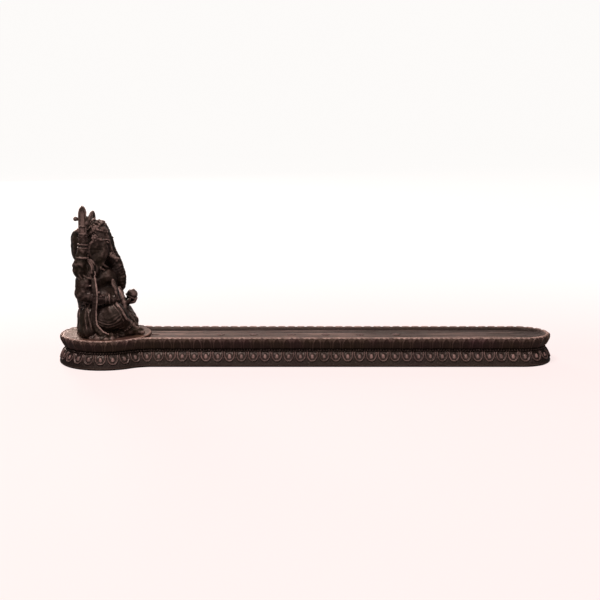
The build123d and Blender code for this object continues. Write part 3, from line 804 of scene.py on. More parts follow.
def thigh_folds(X, Y, Z):
    r = np.hypot(X + 102.5, (Z - 41.0) * 1.05) + 0.7 * np.sin(X * 0.45) + 0.3 * np.sin(Z * 0.9 + X * 0.3)
    return -0.15 * (0.6 + 0.4 * np.sin(r * 1.1)) * np.cos(2 * np.pi * r / 1.85) * sm((r - 12.5) / 4) * sm((-Y - 7.5) / 3) * sm((-93.2 - X) / 2.0)


ripple("right_leg", thigh_folds, (-113, -20, 17), (-91, -6, 34))
hem = []
for x, z in ((-98.6, 34.6), (-97.2, 33.4), (-95.6, 31.8), (-94.2, 30.0), (-93.2, 27.6), (-92.3, 25.2)):
    hem.append((x, min(snap("right_leg", x - 0.9, z - 0.3, -1, 0.15), -9.0), z))
hem += [(-91.6, -9.4, 23.2), (-90.8, -8.6, 21.6), (-89.4, -7.8, 20.3), (-87.4, -6.9, 18.9)]
hr = [0.5] * 7 + [0.42, 0.34, 0.26]
put("right_leg", limb([(p[0], p[1] + 0.22, p[2], r) for p, r in zip(hem, hr)], 0.3), 0.6)
rub_and_highlight([(p[0] + 0.1, p[1] - 0.3, p[2] + 0.15) for p in hem], 0.5, 1.5)
hem2 = [(p[0] - 1.5, min(snap("right_leg", p[0] - 1.5, p[2] - 0.8, -1, -0.1), -9.5), p[2] - 0.8) for p in hem[1:6]]
put("right_leg", limb([(*p, 0.3) for p in hem2], 0.2), 0.3)
for i in range(5):                                                           # toes
    f = i / 4
    put("right_leg", limb([(-87.4 - 0.3 * i, -6.6 + 3.0 * f, 17.0, 1.05 - 0.09 * i), (-84.9 - 0.4 * i, -6.4 + 3.0 * f, 16.4, 0.98 - 0.1 * i)]), 0.15)
    relief("right_leg", ell((-84.3 - 0.4 * i, -6.4 + 3.0 * f, 17.1 - 0.06 * i), (0.2, 0.3, 0.1)), 0.12, 0.3)
put("right_leg", ring((-93.8, -8.2, 20.8), (0.42, 0.3, -0.86), 3.5, 0.55), 0.2)    # anklet
for i in range(16):
    t = 2 * math.pi * i / 16
    a = np.array([0.42, 0.3, -0.86]); a /= np.linalg.norm(a)
    u = np.cross(a, [0, 0, 1]); u /= np.linalg.norm(u)
    v = np.cross(a, u)
    c = np.array([-93.5, -8.0, 19.9]) + 3.55 * (u * math.cos(t) + v * math.sin(t))
    put("right_leg", ell(c, (0.52,) * 3), 0.12)
node("left_leg", ell((-104.4, 12.0, 22.8), (9.0, 6.6, 6.6), rot(0, -6, -10)), ell((-98.8, 14.2, 22.6), (6.0, 5.4, 5.8)),
     limb([(-98.2, 13.2, 23.2, 5.0), (-94.4, 8.8, 21.6, 4.0), (-92.4, 4.4, 20.0, 3.0)]),
     limb([(-92.4, 3.6, 19.2, 2.3), (-91.4, 0.2, 18.9, 2.0), (-91.0, -2.0, 18.3, 1.5)]), k=1.6)
ripple("left_leg", lambda X, Y, Z: -0.14 * np.cos(2 * np.pi * (np.hypot(X + 101.5, Z - 37.0) + 0.5 * np.sin(X * 0.5)) / 2.2) * sm((Y - 7.5) / 3) * sm((-92.5 - X) / 2.5), (-113, 6, 16), (-91, 22, 32))
put("left_leg", ring((-92.6, 5.2, 20.2), (0.25, -0.95, -0.2), 3.1, 0.6), 0.2)
for i in range(4):
    put("left_leg", limb([(-91.6 + 0.62 * i, -1.2, 18.6 - 0.3 * i, 0.62), (-91.5 + 0.62 * i, -3.2, 18.2 - 0.3 * i, 0.55)]), 0.15)

# ---- head
node("elephant_head", ell((-107.8, 0, 63.8), (7.0, 7.4, 8.6)), ell((-106.7, -2.9, 68.8), (3.5, 3.3, 3.9)), ell((-106.7, 2.9, 68.8), (3.5, 3.3, 3.9)),
     ell((-104.9, -4.3, 64.6), (2.9, 2.6, 2.6)), ell((-104.9, 4.3, 64.6), (2.9, 2.6, 2.6)),
     ell((-104.6, -4.2, 59.4), (3.7, 3.1, 4.9)), ell((-104.6, 4.2, 59.4), (3.7, 3.1, 4.9)), ell((-104.4, 0, 62.4), (3.9, 4.3, 5.2)),
     ell((-103.4, 0, 55.0), (3.5, 3.1, 1.9), rot(0, 24, 0)), k=1.8)
cut("elephant_head", ell((-99.8, 0, 56.6), (2.4, 2.2, 0.8), rot(0, 30, 0)), 0.5)


def eye(s, _):
    y = snap("elephant_head", -102.9, 64.4, s, 0.25)
    c = np.array([-102.9, y, 64.4])
    R = rot(0, 14, s * 34)
    cut("elephant_head", ell(c + [0.15, s * 0.45, 0.0], (1.35, 0.6, 0.62), R), 0.45)
    put("elephant_head", ell(c + [0.0, s * 0.02, -0.02], (0.85, 0.52, 0.5), R), 0.08)
    brow = [c + [-1.9, s * 0.55, 0.1], c + [-0.9, s * 0.62, 0.95], c + [0.5, s * 0.35, 1.1], c + [1.5, s * -0.25, 0.55]]
    put("elephant_head", limb([(*p, 0.36) for p in brow]), 0.35)
    lid = [c + [-1.5, s * 0.5, -0.25], c + [-0.2, s * 0.5, -0.78], c + [1.1, s * 0.0, -0.55]]
    put("elephant_head", limb([(*p, 0.26) for p in lid]), 0.3)
    for i in range(3):
        relief("elephant_head", line([c + [-2.0 - 0.3 * i, s * 0.5, -0.4 - 0.8 * i], c + [-0.8, s * 0.7, -1.3 - 0.8 * i]]), -0.22, 0.26)


both(eye)
relief("elephant_head", line([(-103.0, 0, 71.0), (-101.4, 0, 67.0)]), -0.45, 0.9)

TR = [(-105.5, 0, 63.4, 4.2), (-102.5, 0, 57.6, 3.95), (-99.5, .2, 52.2, 3.5), (-97.3, .4, 46.8, 3.0), (-96.9, 1.0, 42.4, 2.65),
      (-97.4, 3.0, 39.7, 2.25), (-97.4, 5.8, 39.0, 1.9), (-96.9, 7.9, 40.2, 1.55)]
tk = []
for i in range(len(TR) - 1):
    a, b = np.array(TR[i]), np.array(TR[i + 1])
    p, n = (np.array(TR[i - 1]) if i else 2 * a - b), (np.array(TR[i + 2]) if i + 2 < len(TR) else 2 * b - a)
    for j in range(3):
        t = j / 3
        tk.append(0.5 * (2 * a + (b - p) * t + (2 * p - 5 * a + 4 * b - n) * t * t + (3 * a - p - 3 * b + n) * t ** 3))
tk.append(np.array(TR[-1]))
node("trunk", limb(tk, 0.3), k=0.5)
arc = 0.0
for q, s in zip(tk, tk[1:]):                                                  # wrinkles round the trunk
    d = s[:3] - q[:3]
    ln = np.linalg.norm(d)
    x = 0.0
    while True:
        nxt = math.ceil((arc + 1e-6) / 1.32) * 1.32
        if nxt > arc + ln:
            break
        c = q[:3] + d * ((nxt - arc) / ln)
        rr = q[3] + (s[3] - q[3]) * (nxt - arc) / ln
        relief("trunk", ring(c, d + np.array([0.25, 0, -0.15]) * ln, rr, 0.0), -0.11 - 0.07 * math.sin(7.3 * ln), 0.32)
        q, ln2 = np.concatenate([c, [rr]]), ln - (nxt - arc)
        arc, ln = nxt + 1e-4, ln2
        d = s[:3] - q[:3]
    arc += ln
cut("trunk", ell((-96.6, 9.0, 41.4), (0.8, 0.8, 0.8)), 0.3)
# a string of beads over the root of the trunk
for i in range(9):
    f = (i - 4) / 4
    put("trunk", ell((-101.6 - 1.9 * f * f, 3.9 * f, 61.6 + 1.6 * f * f), (0.42, 0.42, 0.42)), 0.1)

node("right_tusk", limb([(-103.4, -4.6, 59.4, 1.15), (-100.6, -5.5, 56.9, 1.05), (-98.4, -5.9, 55.6, 0.85), (-96.8, -5.8, 55.5, 0.5)], 0.4), k=0.4)
node("left_tusk", limb([(-103.4, 4.6, 59.4, 1.15), (-100.8, 5.4, 57.1, 1.1), (-100.0, 5.6, 56.6, 1.05)], 0.4), k=0.4)
both(lambda s, n: put(n + "_tusk", ring((-101.3, s * 5.2, 57.5), (0.75, s * -0.2, -0.62), 1.25, 0.36), 0.15))

# ---- hair, gathered behind the crown and lying on the neck
node("hair_bun", ell((-115.2, 0, 62.0), (7.1, 8.2, 8.0)), ell((-117.2, 0, 65.6), (5.0, 6.6, 5.2)), ell((-116.8, 0, 57.6), (5.2, 7.0, 5.4)),
     ell((-115.0, -3.2, 52.6), (4.4, 4.0, 4.6)), ell((-115.0, 3.2, 52.6), (4.4, 4.0, 4.6)),
     ell((-115.9, -4.6, 69.4), (2.9, 3.4, 2.2)), ell((-115.9, 4.6, 69.4), (2.9, 3.4, 2.2)), k=1.4)
ripple("hair_bun", lambda X, Y, Z: 0.10 * np.cos(np.arctan2(Y, X + 109.0) * 20 + 0.9 * np.sin(Z * 0.7)) * sm((-112.5 - X) / 3))
put("hair_bun", limb([(-117.6, -6.6, 55.6, 1.4), (-119.4, -6.9, 52.0, 1.5), (-119.0, -6.6, 48.8, 1.1), (-117.6, -6.2, 47.4, 0.7)]), 0.5)
put("hair_bun", limb([(-117.6, 6.6, 55.6, 1.4), (-119.4, 6.9, 52.0, 1.5), (-119.0, 6.6, 48.8, 1.1), (-117.6, 6.2, 47.4, 0.7)]), 0.5)


# ---- crown in tiers
CR = rot(0, -40, 0)
C0 = np.array([-109.6, 0, 69.0], F32)
CPROF = np.array([(-1.2, 6.3), (0.0, 6.5), (0.7, 6.6), (1.3, 6.3), (1.7, 5.5), (2.2, 5.2), (2.9, 5.5), (3.4, 5.3), (3.8, 4.5), (4.3, 4.0), (4.9, 4.0),
                  (5.5, 3.7), (5.9, 3.0), (6.5, 2.7), (7.0, 2.5), (7.3, 1.9), (7.7, 1.3), (8.2, 1.4), (8.7, 1.1), (9.2, 0.4)])


def crown_fn(X, Y, Z):
    x, y, z = X - C0[0], Y - C0[1], Z - C0[2]
    a, b, c = (CR[0, i] * x + CR[1, i] * y + CR[2, i] * z for i in range(3))
    r, th = np.sqrt(a * a + b * b), np.arctan2(b, a)
    R = np.interp(c, CPROF[:, 0], CPROF[:, 1]).astype(F32)
    lobes = 0.34 * (np.abs(np.cos(th * 9)) ** 0.7 - 0.5) * sm((c - 1.6) / 0.6) * sm((8.0 - c) / 0.8)
    d = (r - R - lobes) * 0.82
    return np.maximum(d, np.maximum(-1.2 - c, c - 9.3))


node("tiered_crown", Shape(crown_fn, C0 - 9.0, C0 + 11.0), k=0.0)
for hgt, rad, m, rb in ((0.7, 6.6, 34, 0.55), (-0.6, 6.4, 40, 0.38), (3.1, 5.5, 24, 0.45), (5.1, 4.0, 18, 0.4), (6.7, 2.6, 12, 0.36)):
    for i in range(m):
        t = 2 * math.pi * i / m
        p = CR @ np.array([rad * math.cos(t), rad * math.sin(t), hgt], F32) + C0
        put("tiered_crown", ell(p, (rb, rb, rb)), 0.1)
for i in range(9):                                                            # upright leaves of the front tier
    t = math.radians(-80 + 20 * i)
    a = CR @ np.array([6.0 * math.cos(t), 6.0 * math.sin(t), 1.2], F32) + C0
    b = CR @ np.array([5.2 * math.cos(t), 5.2 * math.sin(t), 2.7 + 0.5 * math.cos(t)], F32) + C0
    put("tiered_crown", limb([(*a, 0.9), (*b, 0.36)]), 0.2)


# ---- ears: dished fans with a rolled edge, spreading back and out from the cheek
def ear(s, n):
    nn, u = np.array([0.503, s * 0.864, 0.0]), np.array([-0.864, s * 0.503, 0.0])
    v = np.array([0.0, 0.0, 1.0])
    R = np.array([nn, u, v]).T.astype(F32)
    c = np.array([-106.9, s * 10.0, 59.6])

    def at(a, b, out=0.0):
        return c + u * a + v * b + nn * out
    nm = n + "_ear"
    node(nm, ell(at(0.2, 0.9), (1.15, 5.0, 5.6), R), ell(at(-0.9, -3.4, -0.1), (1.1, 3.4, 4.0), R), ell(at(-3.2, 0.5, -0.7), (1.7, 2.6, 4.6), R), k=1.6)
    cut(nm, ell(at(1.4, 0.8, 2.15), (1.3, 3.0, 4.6), R), 1.4)
    rim = [(-2.0, 6.0), (0.2, 6.6), (2.4, 5.8), (4.0, 4.4), (4.7, 2.6), (5.3, 0.6), (4.3, -1.4), (3.7, -3.2), (2.2, -4.6), (1.2, -6.4), (-0.6, -7.3), (-2.2, -6.4)]
    put(nm, limb([(*at(a, b, -0.1), 0.6 + 0.18 * math.sin(5 * a + 2 * b)) for a, b in rim], 0.4), 1.0)
    for k, (a, b) in enumerate(((2.8, 4.2), (4.0, 1.4), (3.4, -1.6), (1.6, -4.2))):
        relief(nm, line([at(-2.6, 1.4 - 0.7 * k, 0.6), at(a * 0.5 - 0.6, b * 0.6 + 0.4, 0.3), at(a, b, 0.4)]), -0.13, 0.45)
    # drop at the lobe, and a flower where the ear meets the crown
    put(nm, ell(at(-0.8, -8.6, 0.4), (0.95, 0.95, 1.35)), 0.2)
    put(nm, ring(at(-0.8, -7.4, 0.4), (nn[0], nn[1], 0), 0.8, 0.32), 0.2)
    f0 = at(1.6, 7.2, 0.3)
    put(nm, ell(f0, (0.85, 0.85, 0.85)), 0.2)
    for i in range(7):
        t = 2 * math.pi * i / 7
        put(nm, ell(f0 + 1.25 * (u * math.cos(t) + v * math.sin(t)), (0.62, 0.62, 0.62)), 0.15)
    for i in range(6):
        put(nm, ell(at(4.4 + 0.35 * i, 4.6 - 1.5 * i, 0.1) if i < 4 else at(5.4, 4.6 - 1.5 * i, 0.0), (0.55, 0.55, 0.62)), 0.25)


both(ear)


# ---- arms
def bangle(name, c, axis, R, r, beads=0):
    put(name, ring(c, axis, R, r), 0.15)
    if beads:
        a = np.array(axis, float); a /= np.linalg.norm(a)
        u = np.cross(a, [0.3, 1, 0.2]); u /= np.linalg.norm(u)
        v = np.cross(a, u)
        for i in range(beads):
            t = 2 * math.pi * i / beads
            put(name, ell(np.array(c) + (R + r * 0.4) * (u * math.cos(t) + v * math.sin(t)), (r * 0.95,) * 3), 0.1)


node("right_front_arm", limb([(-111.4, -11.8, 50.4, 4.1), (-113.8, -14.8, 44.6, 3.9), (-114.6, -15.8, 38.6, 3.7)], 1.2),
     limb([(-114.4, -15.9, 38.8, 3.6), (-108.4, -16.2, 36.4, 2.9), (-101.6, -15.2, 35.6, 2.3), (-97.2, -14.4, 36.2, 1.9)], 0.8),
     ell((-96.9, -14.2, 39.0), (1.35, 2.8, 3.7), rot(0, -16, 0)), k=1.2)
for i in range(4):                                                             # raised fingers
    y0 = -16.1 + 1.3 * i
    tip = (3.5, 4.3, 4.0, 3.1)[3 - i]
    put("right_front_arm", limb([(-97.2, y0, 41.0, 0.8), (-98.4, y0 * 0.99 - 0.1, 41.2 + tip * 0.55, 0.72), (-99.0, y0 * 0.98 - 0.2, 41.0 + tip, 0.6)]), 0.12)
put("right_front_arm", limb([(-97.2, -12.2, 37.6, 0.95), (-97.3, -10.9, 39.8, 0.75), (-97.6, -10.6, 41.2, 0.62)]), 0.3)
relief("right_front_arm", ell((-95.9, -14.2, 38.8), (0.1, 0.9, 1.2)), -0.3, 0.5)
bangle("right_front_arm", (-100.8, -15.1, 35.7), (0.97, 0.15, 0.05), 2.3, 0.36, 14)
bangle("right_front_arm", (-102.4, -15.3, 35.7), (0.98, 0.1, -0.05), 2.35, 0.3)
for q in ((-106.4, -18.4, 38.2), (-104.8, -18.0, 37.6), (-103.4, -17.9, 37.9), (-105.6, -18.3, 39.6), (-107.4, -18.5, 39.9)):
    put("right_front_arm", ell(q, (0.75, 0.6, 0.6)), 0.3)
    rub_and_highlight([q, (q[0] + 0.4, q[1], q[2])], 0.6, 0.8)
bangle("right_front_arm", (-113.2, -14.1, 46.2), (-0.35, -0.45, -0.82), 4.05, 0.6, 20)
put("right_front_arm", ell((-114.6, -18.2, 47.4), (1.3, 0.9, 1.9)), 0.2)
node("left_front_arm", limb([(-111.4, 11.8, 50.4, 4.1), (-113.8, 14.8, 44.6, 3.8), (-114.0, 15.8, 38.6, 3.5)], 1.2),
     limb([(-113.6, 15.8, 37.8, 3.3), (-106.4, 15.2, 33.6, 2.8), (-99.6, 13.4, 30.6, 2.2), (-96.6, 12.4, 29.6, 2.0)], 0.8),
     ell((-95.2, 12.2, 29.4), (2.8, 2.8, 1.5), rot(0, -12, 0)), k=1.2)
for i in range(4):
    y0 = 10.4 + 1.25 * i
    put("left_front_arm", limb([(-93.6, y0, 29.2, 0.8), (-91.6, y0, 29.8, 0.72), (-90.7, y0, 31.4, 0.58)]), 0.12)
put("left_front_arm", limb([(-95.4, 9.9, 29.8, 0.95), (-93.9, 9.0, 31.4, 0.75)]), 0.3)
bangle("left_front_arm", (-99.4, 13.3, 30.6), (0.92, -0.32, -0.2), 2.3, 0.52, 14)
bangle("left_front_arm", (-113.2, 14.1, 46.2), (-0.35, 0.45, -0.82), 4.05, 0.6, 20)


def rear(s, n):
    nm = n + "_rear_arm"
    node(nm, limb([(-111.4, s * 11.6, 51.8, 3.7), (-115.6, s * 16.2, 50.4, 3.1), (-115.2, s * 17.3, 54.0, 2.9), (-113.7, s * 17.0, 61.2, 2.45), (-113.3, s * 16.4, 65.2, 1.95)], 1.0),
         ell((-113.3, s * 16.0, 67.6), (1.9, 1.8, 2.3)), k=0.9)
    for i in range(4):                                                         # fingers closed on the handle
        z = 69.0 - 1.12 * i
        r = 1.75
        ctr = np.array([-113.4, s * 15.6, z])
        pts = []
        for j in range(6):
            t = math.radians(-60 + 42 * j)
            pts.append((*(ctr + [r * math.cos(t) * 1.05, s * r * math.sin(t) * 0.9, 0.12 * j]), 0.62))
        put(nm, limb(pts), 0.1)
    put(nm, limb([(-114.6, s * 16.6, 66.6, 0.8), (-112.8, s * 17.2, 68.6, 0.7), (-112.0, s * 16.4, 69.8, 0.6)]), 0.25)
    bangle(nm, (-113.4, s * 16.6, 64.0), (0.08, 0.1, 0.98), 2.25, 0.5, 14)
    bangle(nm, (-113.5, s * 16.8, 62.5), (0.08, 0.05, 0.99), 2.4, 0.42)
    bangle(nm, (-113.9, s * 17.2, 57.6), (0.08, 0.05, 0.99), 2.75, 0.5, 16)


both(rear)

# ---- what the hands hold
node("sweet_bowl", limb([(-94.6, 12.2, 30.4, 1.6), (-93.7, 12.2, 32.2, 2.5)]), ell((-92.9, 12.2, 33.6), (2.9, 2.9, 2.6)), k=0.4)
put("sweet_bowl", ring((-93.5, 12.2, 32.4), (0.45, 0, 0.9), 2.85, 0.42), 0.15)
for i in range(9):
    t = 2 * math.pi * i / 9
    put("sweet_bowl", ell((-92.6 + 1.7 * math.cos(t), 12.2 + 1.7 * math.sin(t), 34.5 - 0.6 * math.cos(t)), (0.95, 0.95, 0.95)), 0.12)
put("sweet_bowl", ell((-92.2, 12.2, 35.5), (1.1, 1.1, 1.1)), 0.15)

def goad_at(u, z, out=0.0):
    """A point on the goad's blade: u across (along x), z height, out toward the viewer's side."""
    return (-113.45 + u, -16.05 + (z - 61.0) * 0.105 - out, z)


node("goad", limb([(*goad_at(0, 60.6), 0.9), (*goad_at(0, 66.5), 1.0)]),
     strap([goad_at(0, 66.0), goad_at(0, 80.4)], 1.95, 0.75, (0, 1, 0.1)), ell(goad_at(0, 80.6), (1.95, 0.8, 3.0)),
     limb([(*goad_at(0.4, 73.4), 1.2), (*goad_at(2.2, 75.0), 1.35), (*goad_at(3.4, 77.0), 1.05), (*goad_at(4.1, 78.8), 0.72), (*goad_at(4.3, 80.2), 0.4)], 0.4),
     ell(goad_at(2.2, 76.6), (1.4, 0.8, 1.8)),
     limb([(*goad_at(-0.8, 76.6), 0.95), (*goad_at(-2.9, 76.9), 0.8)]), ell(goad_at(-3.6, 77.0), (1.15, 1.05, 1.2)), k=0.45)
arch = [(-1.75, 67.0), (-1.8, 72.0), (-1.8, 77.0), (-1.7, 80.0), (-1.15, 82.2), (0.0, 83.45), (1.15, 82.2), (1.7, 80.0), (1.8, 77.0), (1.8, 72.0), (1.75, 67.0)]
put("goad", limb([(*goad_at(u, z, 0.6), 0.36) for u, z in arch], 0.1), 0.15)
cut("goad", strap([goad_at(0, 68.0, 1.25), goad_at(0, 80.4, 1.25)], 1.05, 0.62, (0, 1, 0.1)), 0.25)
put("goad", limb([(*goad_at(0, 68.6, 0.55), 0.2), (*goad_at(0, 80.8, 0.55), 0.26)]), 0.25)
for z in (67.2, 73.4):
    put("goad", limb([(*goad_at(-1.7, z, 0.7), 0.42), (*goad_at(0, z - 0.2, 0.9), 0.42), (*goad_at(1.7, z, 0.7), 0.42)], 0.1), 0.15)
put("goad", ell(goad_at(0, 65.6, 0.2), (1.7, 1.5, 0.9)), 0.4)
rub_and_highlight([goad_at(0, 68.6, 0.6), goad_at(0, 74.0, 0.6), goad_at(0, 80.0, 0.6)], 0.95, 0.95)

node("noose", ring((-113.4, 14.8, 73.4), (1, 0, 0), 4.0, 0.95), limb([(-113.6, 15.8, 61.6, 0.85), (-113.4, 15.3, 69.8, 0.95)]), ell((-113.4, 15.2, 69.6), (1.2, 1.4, 1.1)), k=0.3)
for i in range(26):                                                            # its rope lay
    t = 2 * math.pi * i / 26
    c = np.array([-113.4, 14.8 + 4.0 * math.cos(t), 73.4 + 4.0 * math.sin(t)])
    d = np.array([0, -math.sin(t), math.cos(t)])
    relief("noose", ring(c, d + np.array([0.7, 0, 0]), 1.0, 0.0), -0.26, 0.2)


# ---- scarves and sash
def scarf(s, n):
    nm = n + "_scarf"
    mid = [(-108.3, s * 17.6, 46.6), (-107.7, s * 18.5, 42.0), (-107.3, s * 18.9, 38.2), (-107.6, s * 19.0, 34.5), (-108.0, s * 18.9, 31.0), (-108.3, s * 18.6, 26.2),
           (-108.0, s * 18.5, 23.0), (-106.6, s * 18.7, 20.2), (-104.6, s * 18.9, 18.2), (-102.2, s * 18.4, 17.0)]
    node(nm, strap(mid, 1.0, 0.40, (0.05, s, 0.15)), ell((-111.6, s * 14.0, 24.4), (5.0, 4.2, 8.2), rot(0, 4, 0)), ell((-112.2, s * 14.0, 19.0), (4.8, 4.6, 4.4)), k=0.9)

    def fall(X, Y, Z):
        u = X + 110 - 0.16 * (Z - 25) + 0.6 * np.sin(Z * 0.33) + 0.25 * np.sin(Z * 0.9 + 1.0)
        return 0.30 * np.cos(u * 2 * np.pi / 2.5) * (0.6 + 0.4 * np.sin(u * 0.9 + Z * 0.12)) * sm((33 - Z) / 4) * sm((-109.2 - X) / 1.0)
    ripple(nm, fall, (-118, -23, 14), (-103, 23, 43))
    front = [(x + 1.05, y + s * 0.12, z + (0.9 if z < 21 else 0.0)) for x, y, z in mid]
    put(nm, limb([(*p, 0.34) for p in front], 0.3), 0.35)
    back = [(x - 1.05, y + s * 0.05, z - (0.6 if z < 21 else 0.0)) for x, y, z in mid]
    put(nm, limb([(*p, 0.26) for p in back], 0.3), 0.35)
    rub_and_highlight([(p[0] + 0.1, p[1] + s * 0.3, p[2] + 0.1) for p in front], 0.38, 1.45)


both(scarf)
node("front_sash", strap([(-97.6, -5.0, 39.8), (-95.6, -6.0, 36.0), (-94.6, -6.4, 32.4), (-94.4, -6.0, 28.6), (-93.6, -4.4, 24.6)], 1.5, 0.6, (0.8, -0.5, 0.2)),
     strap([(-98.4, 1.4, 27.2), (-94.4, 1.9, 25.4), (-91.6, 2.3, 22.6), (-89.6, 2.6, 19.0), (-88.8, 2.8, 16.0)], 2.4, 0.7, (0.7, 0, 0.7)), k=0.4)
rub_and_highlight([(-97.2, -6.0, 39.6), (-95.2, -6.6, 36.0), (-94.2, -7.0, 32.4), (-94.0, -6.6, 28.6)], 0.7, 1.4)
ripple("front_sash", lambda X, Y, Z: 0.10 * np.cos((Y - 2.2) * 2 * np.pi / 1.2) + 0.0 * X)
ripple("front_sash", lambda X, Y, Z: 0.08 * np.cos(Z * 2 * np.pi / 2.6) + 0.0 * X * Y)

# ---- shawl over the near and far shoulders, in relief on the upper arms
both(lambda s, n: put(n + "_front_arm", limb([(-114.2, s * 15.0, 56.2, 0.6), (-111.6, s * 15.4, 57.2, 0.7), (-109.8, s * 15.0, 55.0, 0.5), (-108.2, s * 15.4, 51.0, 0.45), (-107.6, s * 16.4, 48.2, 0.4), (-107.6, s * 17.4, 46.0, 0.35)], 0.4), 0.9))
both(lambda s, n: put(n + "_front_arm", limb([(-114.2, s * 15.0, 56.2, 0.6), (-115.4, s * 15.6, 53.6, 0.6), (-115.8, s * 16.6, 49.6, 0.55), (-116.2, s * 17.0, 47.0, 0.5)], 0.4), 0.3))
both(lambda s, n: put(n + "_front_arm", ell((-111.4, s * 14.6, 52.6), (3.6, 2.6, 4.0)), 1.4))
both(lambda s, n: ripple(n + "_front_arm", lambda X, Y, Z: 0.26 * np.cos((X + 0.35 * Z + 0.5 * np.sin(Z * 0.8)) * 2 * np.pi / 2.1) * sm((Z - 45.5) / 3) * sm((57.5 - Z) / 2), (-118, -21, 44), (-105, 21, 58)))

both(lambda s, n: rub_and_highlight([(-114.4, s * 15.6, 56.4), (-111.6, s * 16.1, 57.6), (-109.4, s * 15.9, 55.0), (-108.0, s * 16.0, 51.0), (-107.4, s * 17.0, 48.2), (-107.4, s * 18.0, 46.0)], 0.5, 0.95))
both(lambda s, n: rub_and_highlight([(-114.4, s * 15.6, 56.4), (-115.6, s * 16.2, 53.6), (-116.1, s * 17.1, 49.6)], 0.45, 0.9))

put("figure_torso", ell((-101.6, 0, 44.6), (3.8, 6.4, 5.0)), 2.0)

# fold from the brow down beside the trunk, and an ornament strip over the brow
for s_ in (-1, 1):
    fold = [(-103.3, s_ * 4.0, 68.0), (-101.8, s_ * 4.5, 65.0), (-100.7, s_ * 4.4, 61.0), (-99.5, s_ * 3.9, 57.6), (-98.2, s_ * 3.4, 54.2)]
    put("elephant_head", limb([(p[0] - 0.15, p[1] - s_ * 0.25, p[2], 0.3) for p in fold], 0.3), 1.2)
    rub_and_highlight([(p[0] + 0.1, p[1] + s_ * 0.15, p[2]) for p in fold], 0.4, 0.8)
    for i in range(7):
        t = i / 6
        q = (-107.4 + 4.6 * t, s_ * (7.0 - 3.6 * t ** 1.4), 70.6 - 1.6 * t)
        put("elephant_head", ell(q, (0.5, 0.5, 0.5)), 0.25)
        rub_and_highlight([q, (q[0] + 0.3, q[1] + s_ * 0.2, q[2] + 0.2)], 0.45, 0.8)
    for i in range(11):                                                       # necklace of heavy beads
        t = i / 10
        q = (-112.0 + 9.6 * t, s_ * (12.6 - 8.6 * t ** 1.3), 54.4 - 7.2 * t)
        put("figure_torso", ell(q, (0.8, 0.8, 0.8)), 0.3)
    for i in range(10):                                                       # tassels of the belt
        t = i / 9
        q = (-114.2 + 9.8 * t, s_ * (12.0 + 1.6 * math.sin(math.pi * t)), 33.6 - 1.2 * t)
        put("figure_torso", ell(q, (0.75, 0.75, 0.95)), 0.4)
    # armlets with a leaf, and creases of the shawl on the shoulder
    for k, (a, b, c, r) in enumerate(((-112.6, 15.6, 52.4, 1.1), (-110.2, 16.0, 49.6, 1.0), (-113.8, 16.4, 48.6, 0.9), (-109.0, 16.4, 46.4, 0.9), (-111.6, 17.0, 46.2, 1.0))):
        nm_ = ("right" if s_ < 0 else "left") + "_front_arm"
        put(nm_, limb([(a - r, s_ * (b - 0.2), c + r, 0.35), (a, s_ * (b + 0.1), c, 0.5), (a + 0.3, s_ * (b - 0.2), c - 1.6 * r, 0.3)], 0.3), 1.0)
        rub_and_highlight([(a - r, s_ * (b + 0.4), c + r), (a, s_ * (b + 0.8), c), (a + 0.3, s_ * (b + 0.4), c - 1.6 * r)], 0.4, 0.75)

both(lambda s, n: put("hair_bun", ell((-116.6, s * 8.0, 70.2), (1.7, 2.0, 1.5)), 0.8))
both(lambda s, n: put("hair_bun", ell((-114.4, s * 8.4, 71.4), (1.5, 1.6, 1.3)), 0.6))

for s_, n_ in ((-1, "right"), (1, "left")):
    for pts in ([(-113.6, s_ * 17.0, 33.2), (-112.6, s_ * 17.6, 30.6), (-113.2, s_ * 17.8, 26.5), (-112.4, s_ * 17.8, 21.0), (-112.8, s_ * 17.8, 17.2)],
                [(-111.0, s_ * 17.6, 33.6), (-111.9, s_ * 17.9, 31.0), (-111.2, s_ * 18.2, 27.5), (-110.2, s_ * 18.2, 22.0), (-109.6, s_ * 18.2, 17.0)],
                [(-116.2, s_ * 14.6, 32.4), (-116.8, s_ * 15.2, 28.0), (-116.2, s_ * 15.6, 22.0), (-116.4, s_ * 15.6, 17.2)]):
        ys = [s_ * max(abs(snap(n_ + "_scarf", x, z, s_, 0.12)), 13.0) for x, y, z in pts]
        on = [(x, yy, z) for (x, y, z), yy in zip(pts, ys)]
        put(n_ + "_scarf", limb([(*p, 0.34) for p in on], 0.3), 0.6)
        rub_and_highlight([(x, yy + s_ * 0.25, z) for x, yy, z in on], 0.36, 0.95)

def bloom(nm_, c, R, n=6, r=0.5):
    put(nm_, ell(c, (r, r, r)), 0.15)
    for i in range(n):
        t = 2 * math.pi * i / n
        put(nm_, ell(np.array(c) + R * np.array([math.cos(t), 0.0, math.sin(t)]), (r * 0.9, r * 0.9, r * 0.9)), 0.15)
    rub_and_highlight([c, (c[0] + 0.2, c[1], c[2])], R + 0.5, 0.8)


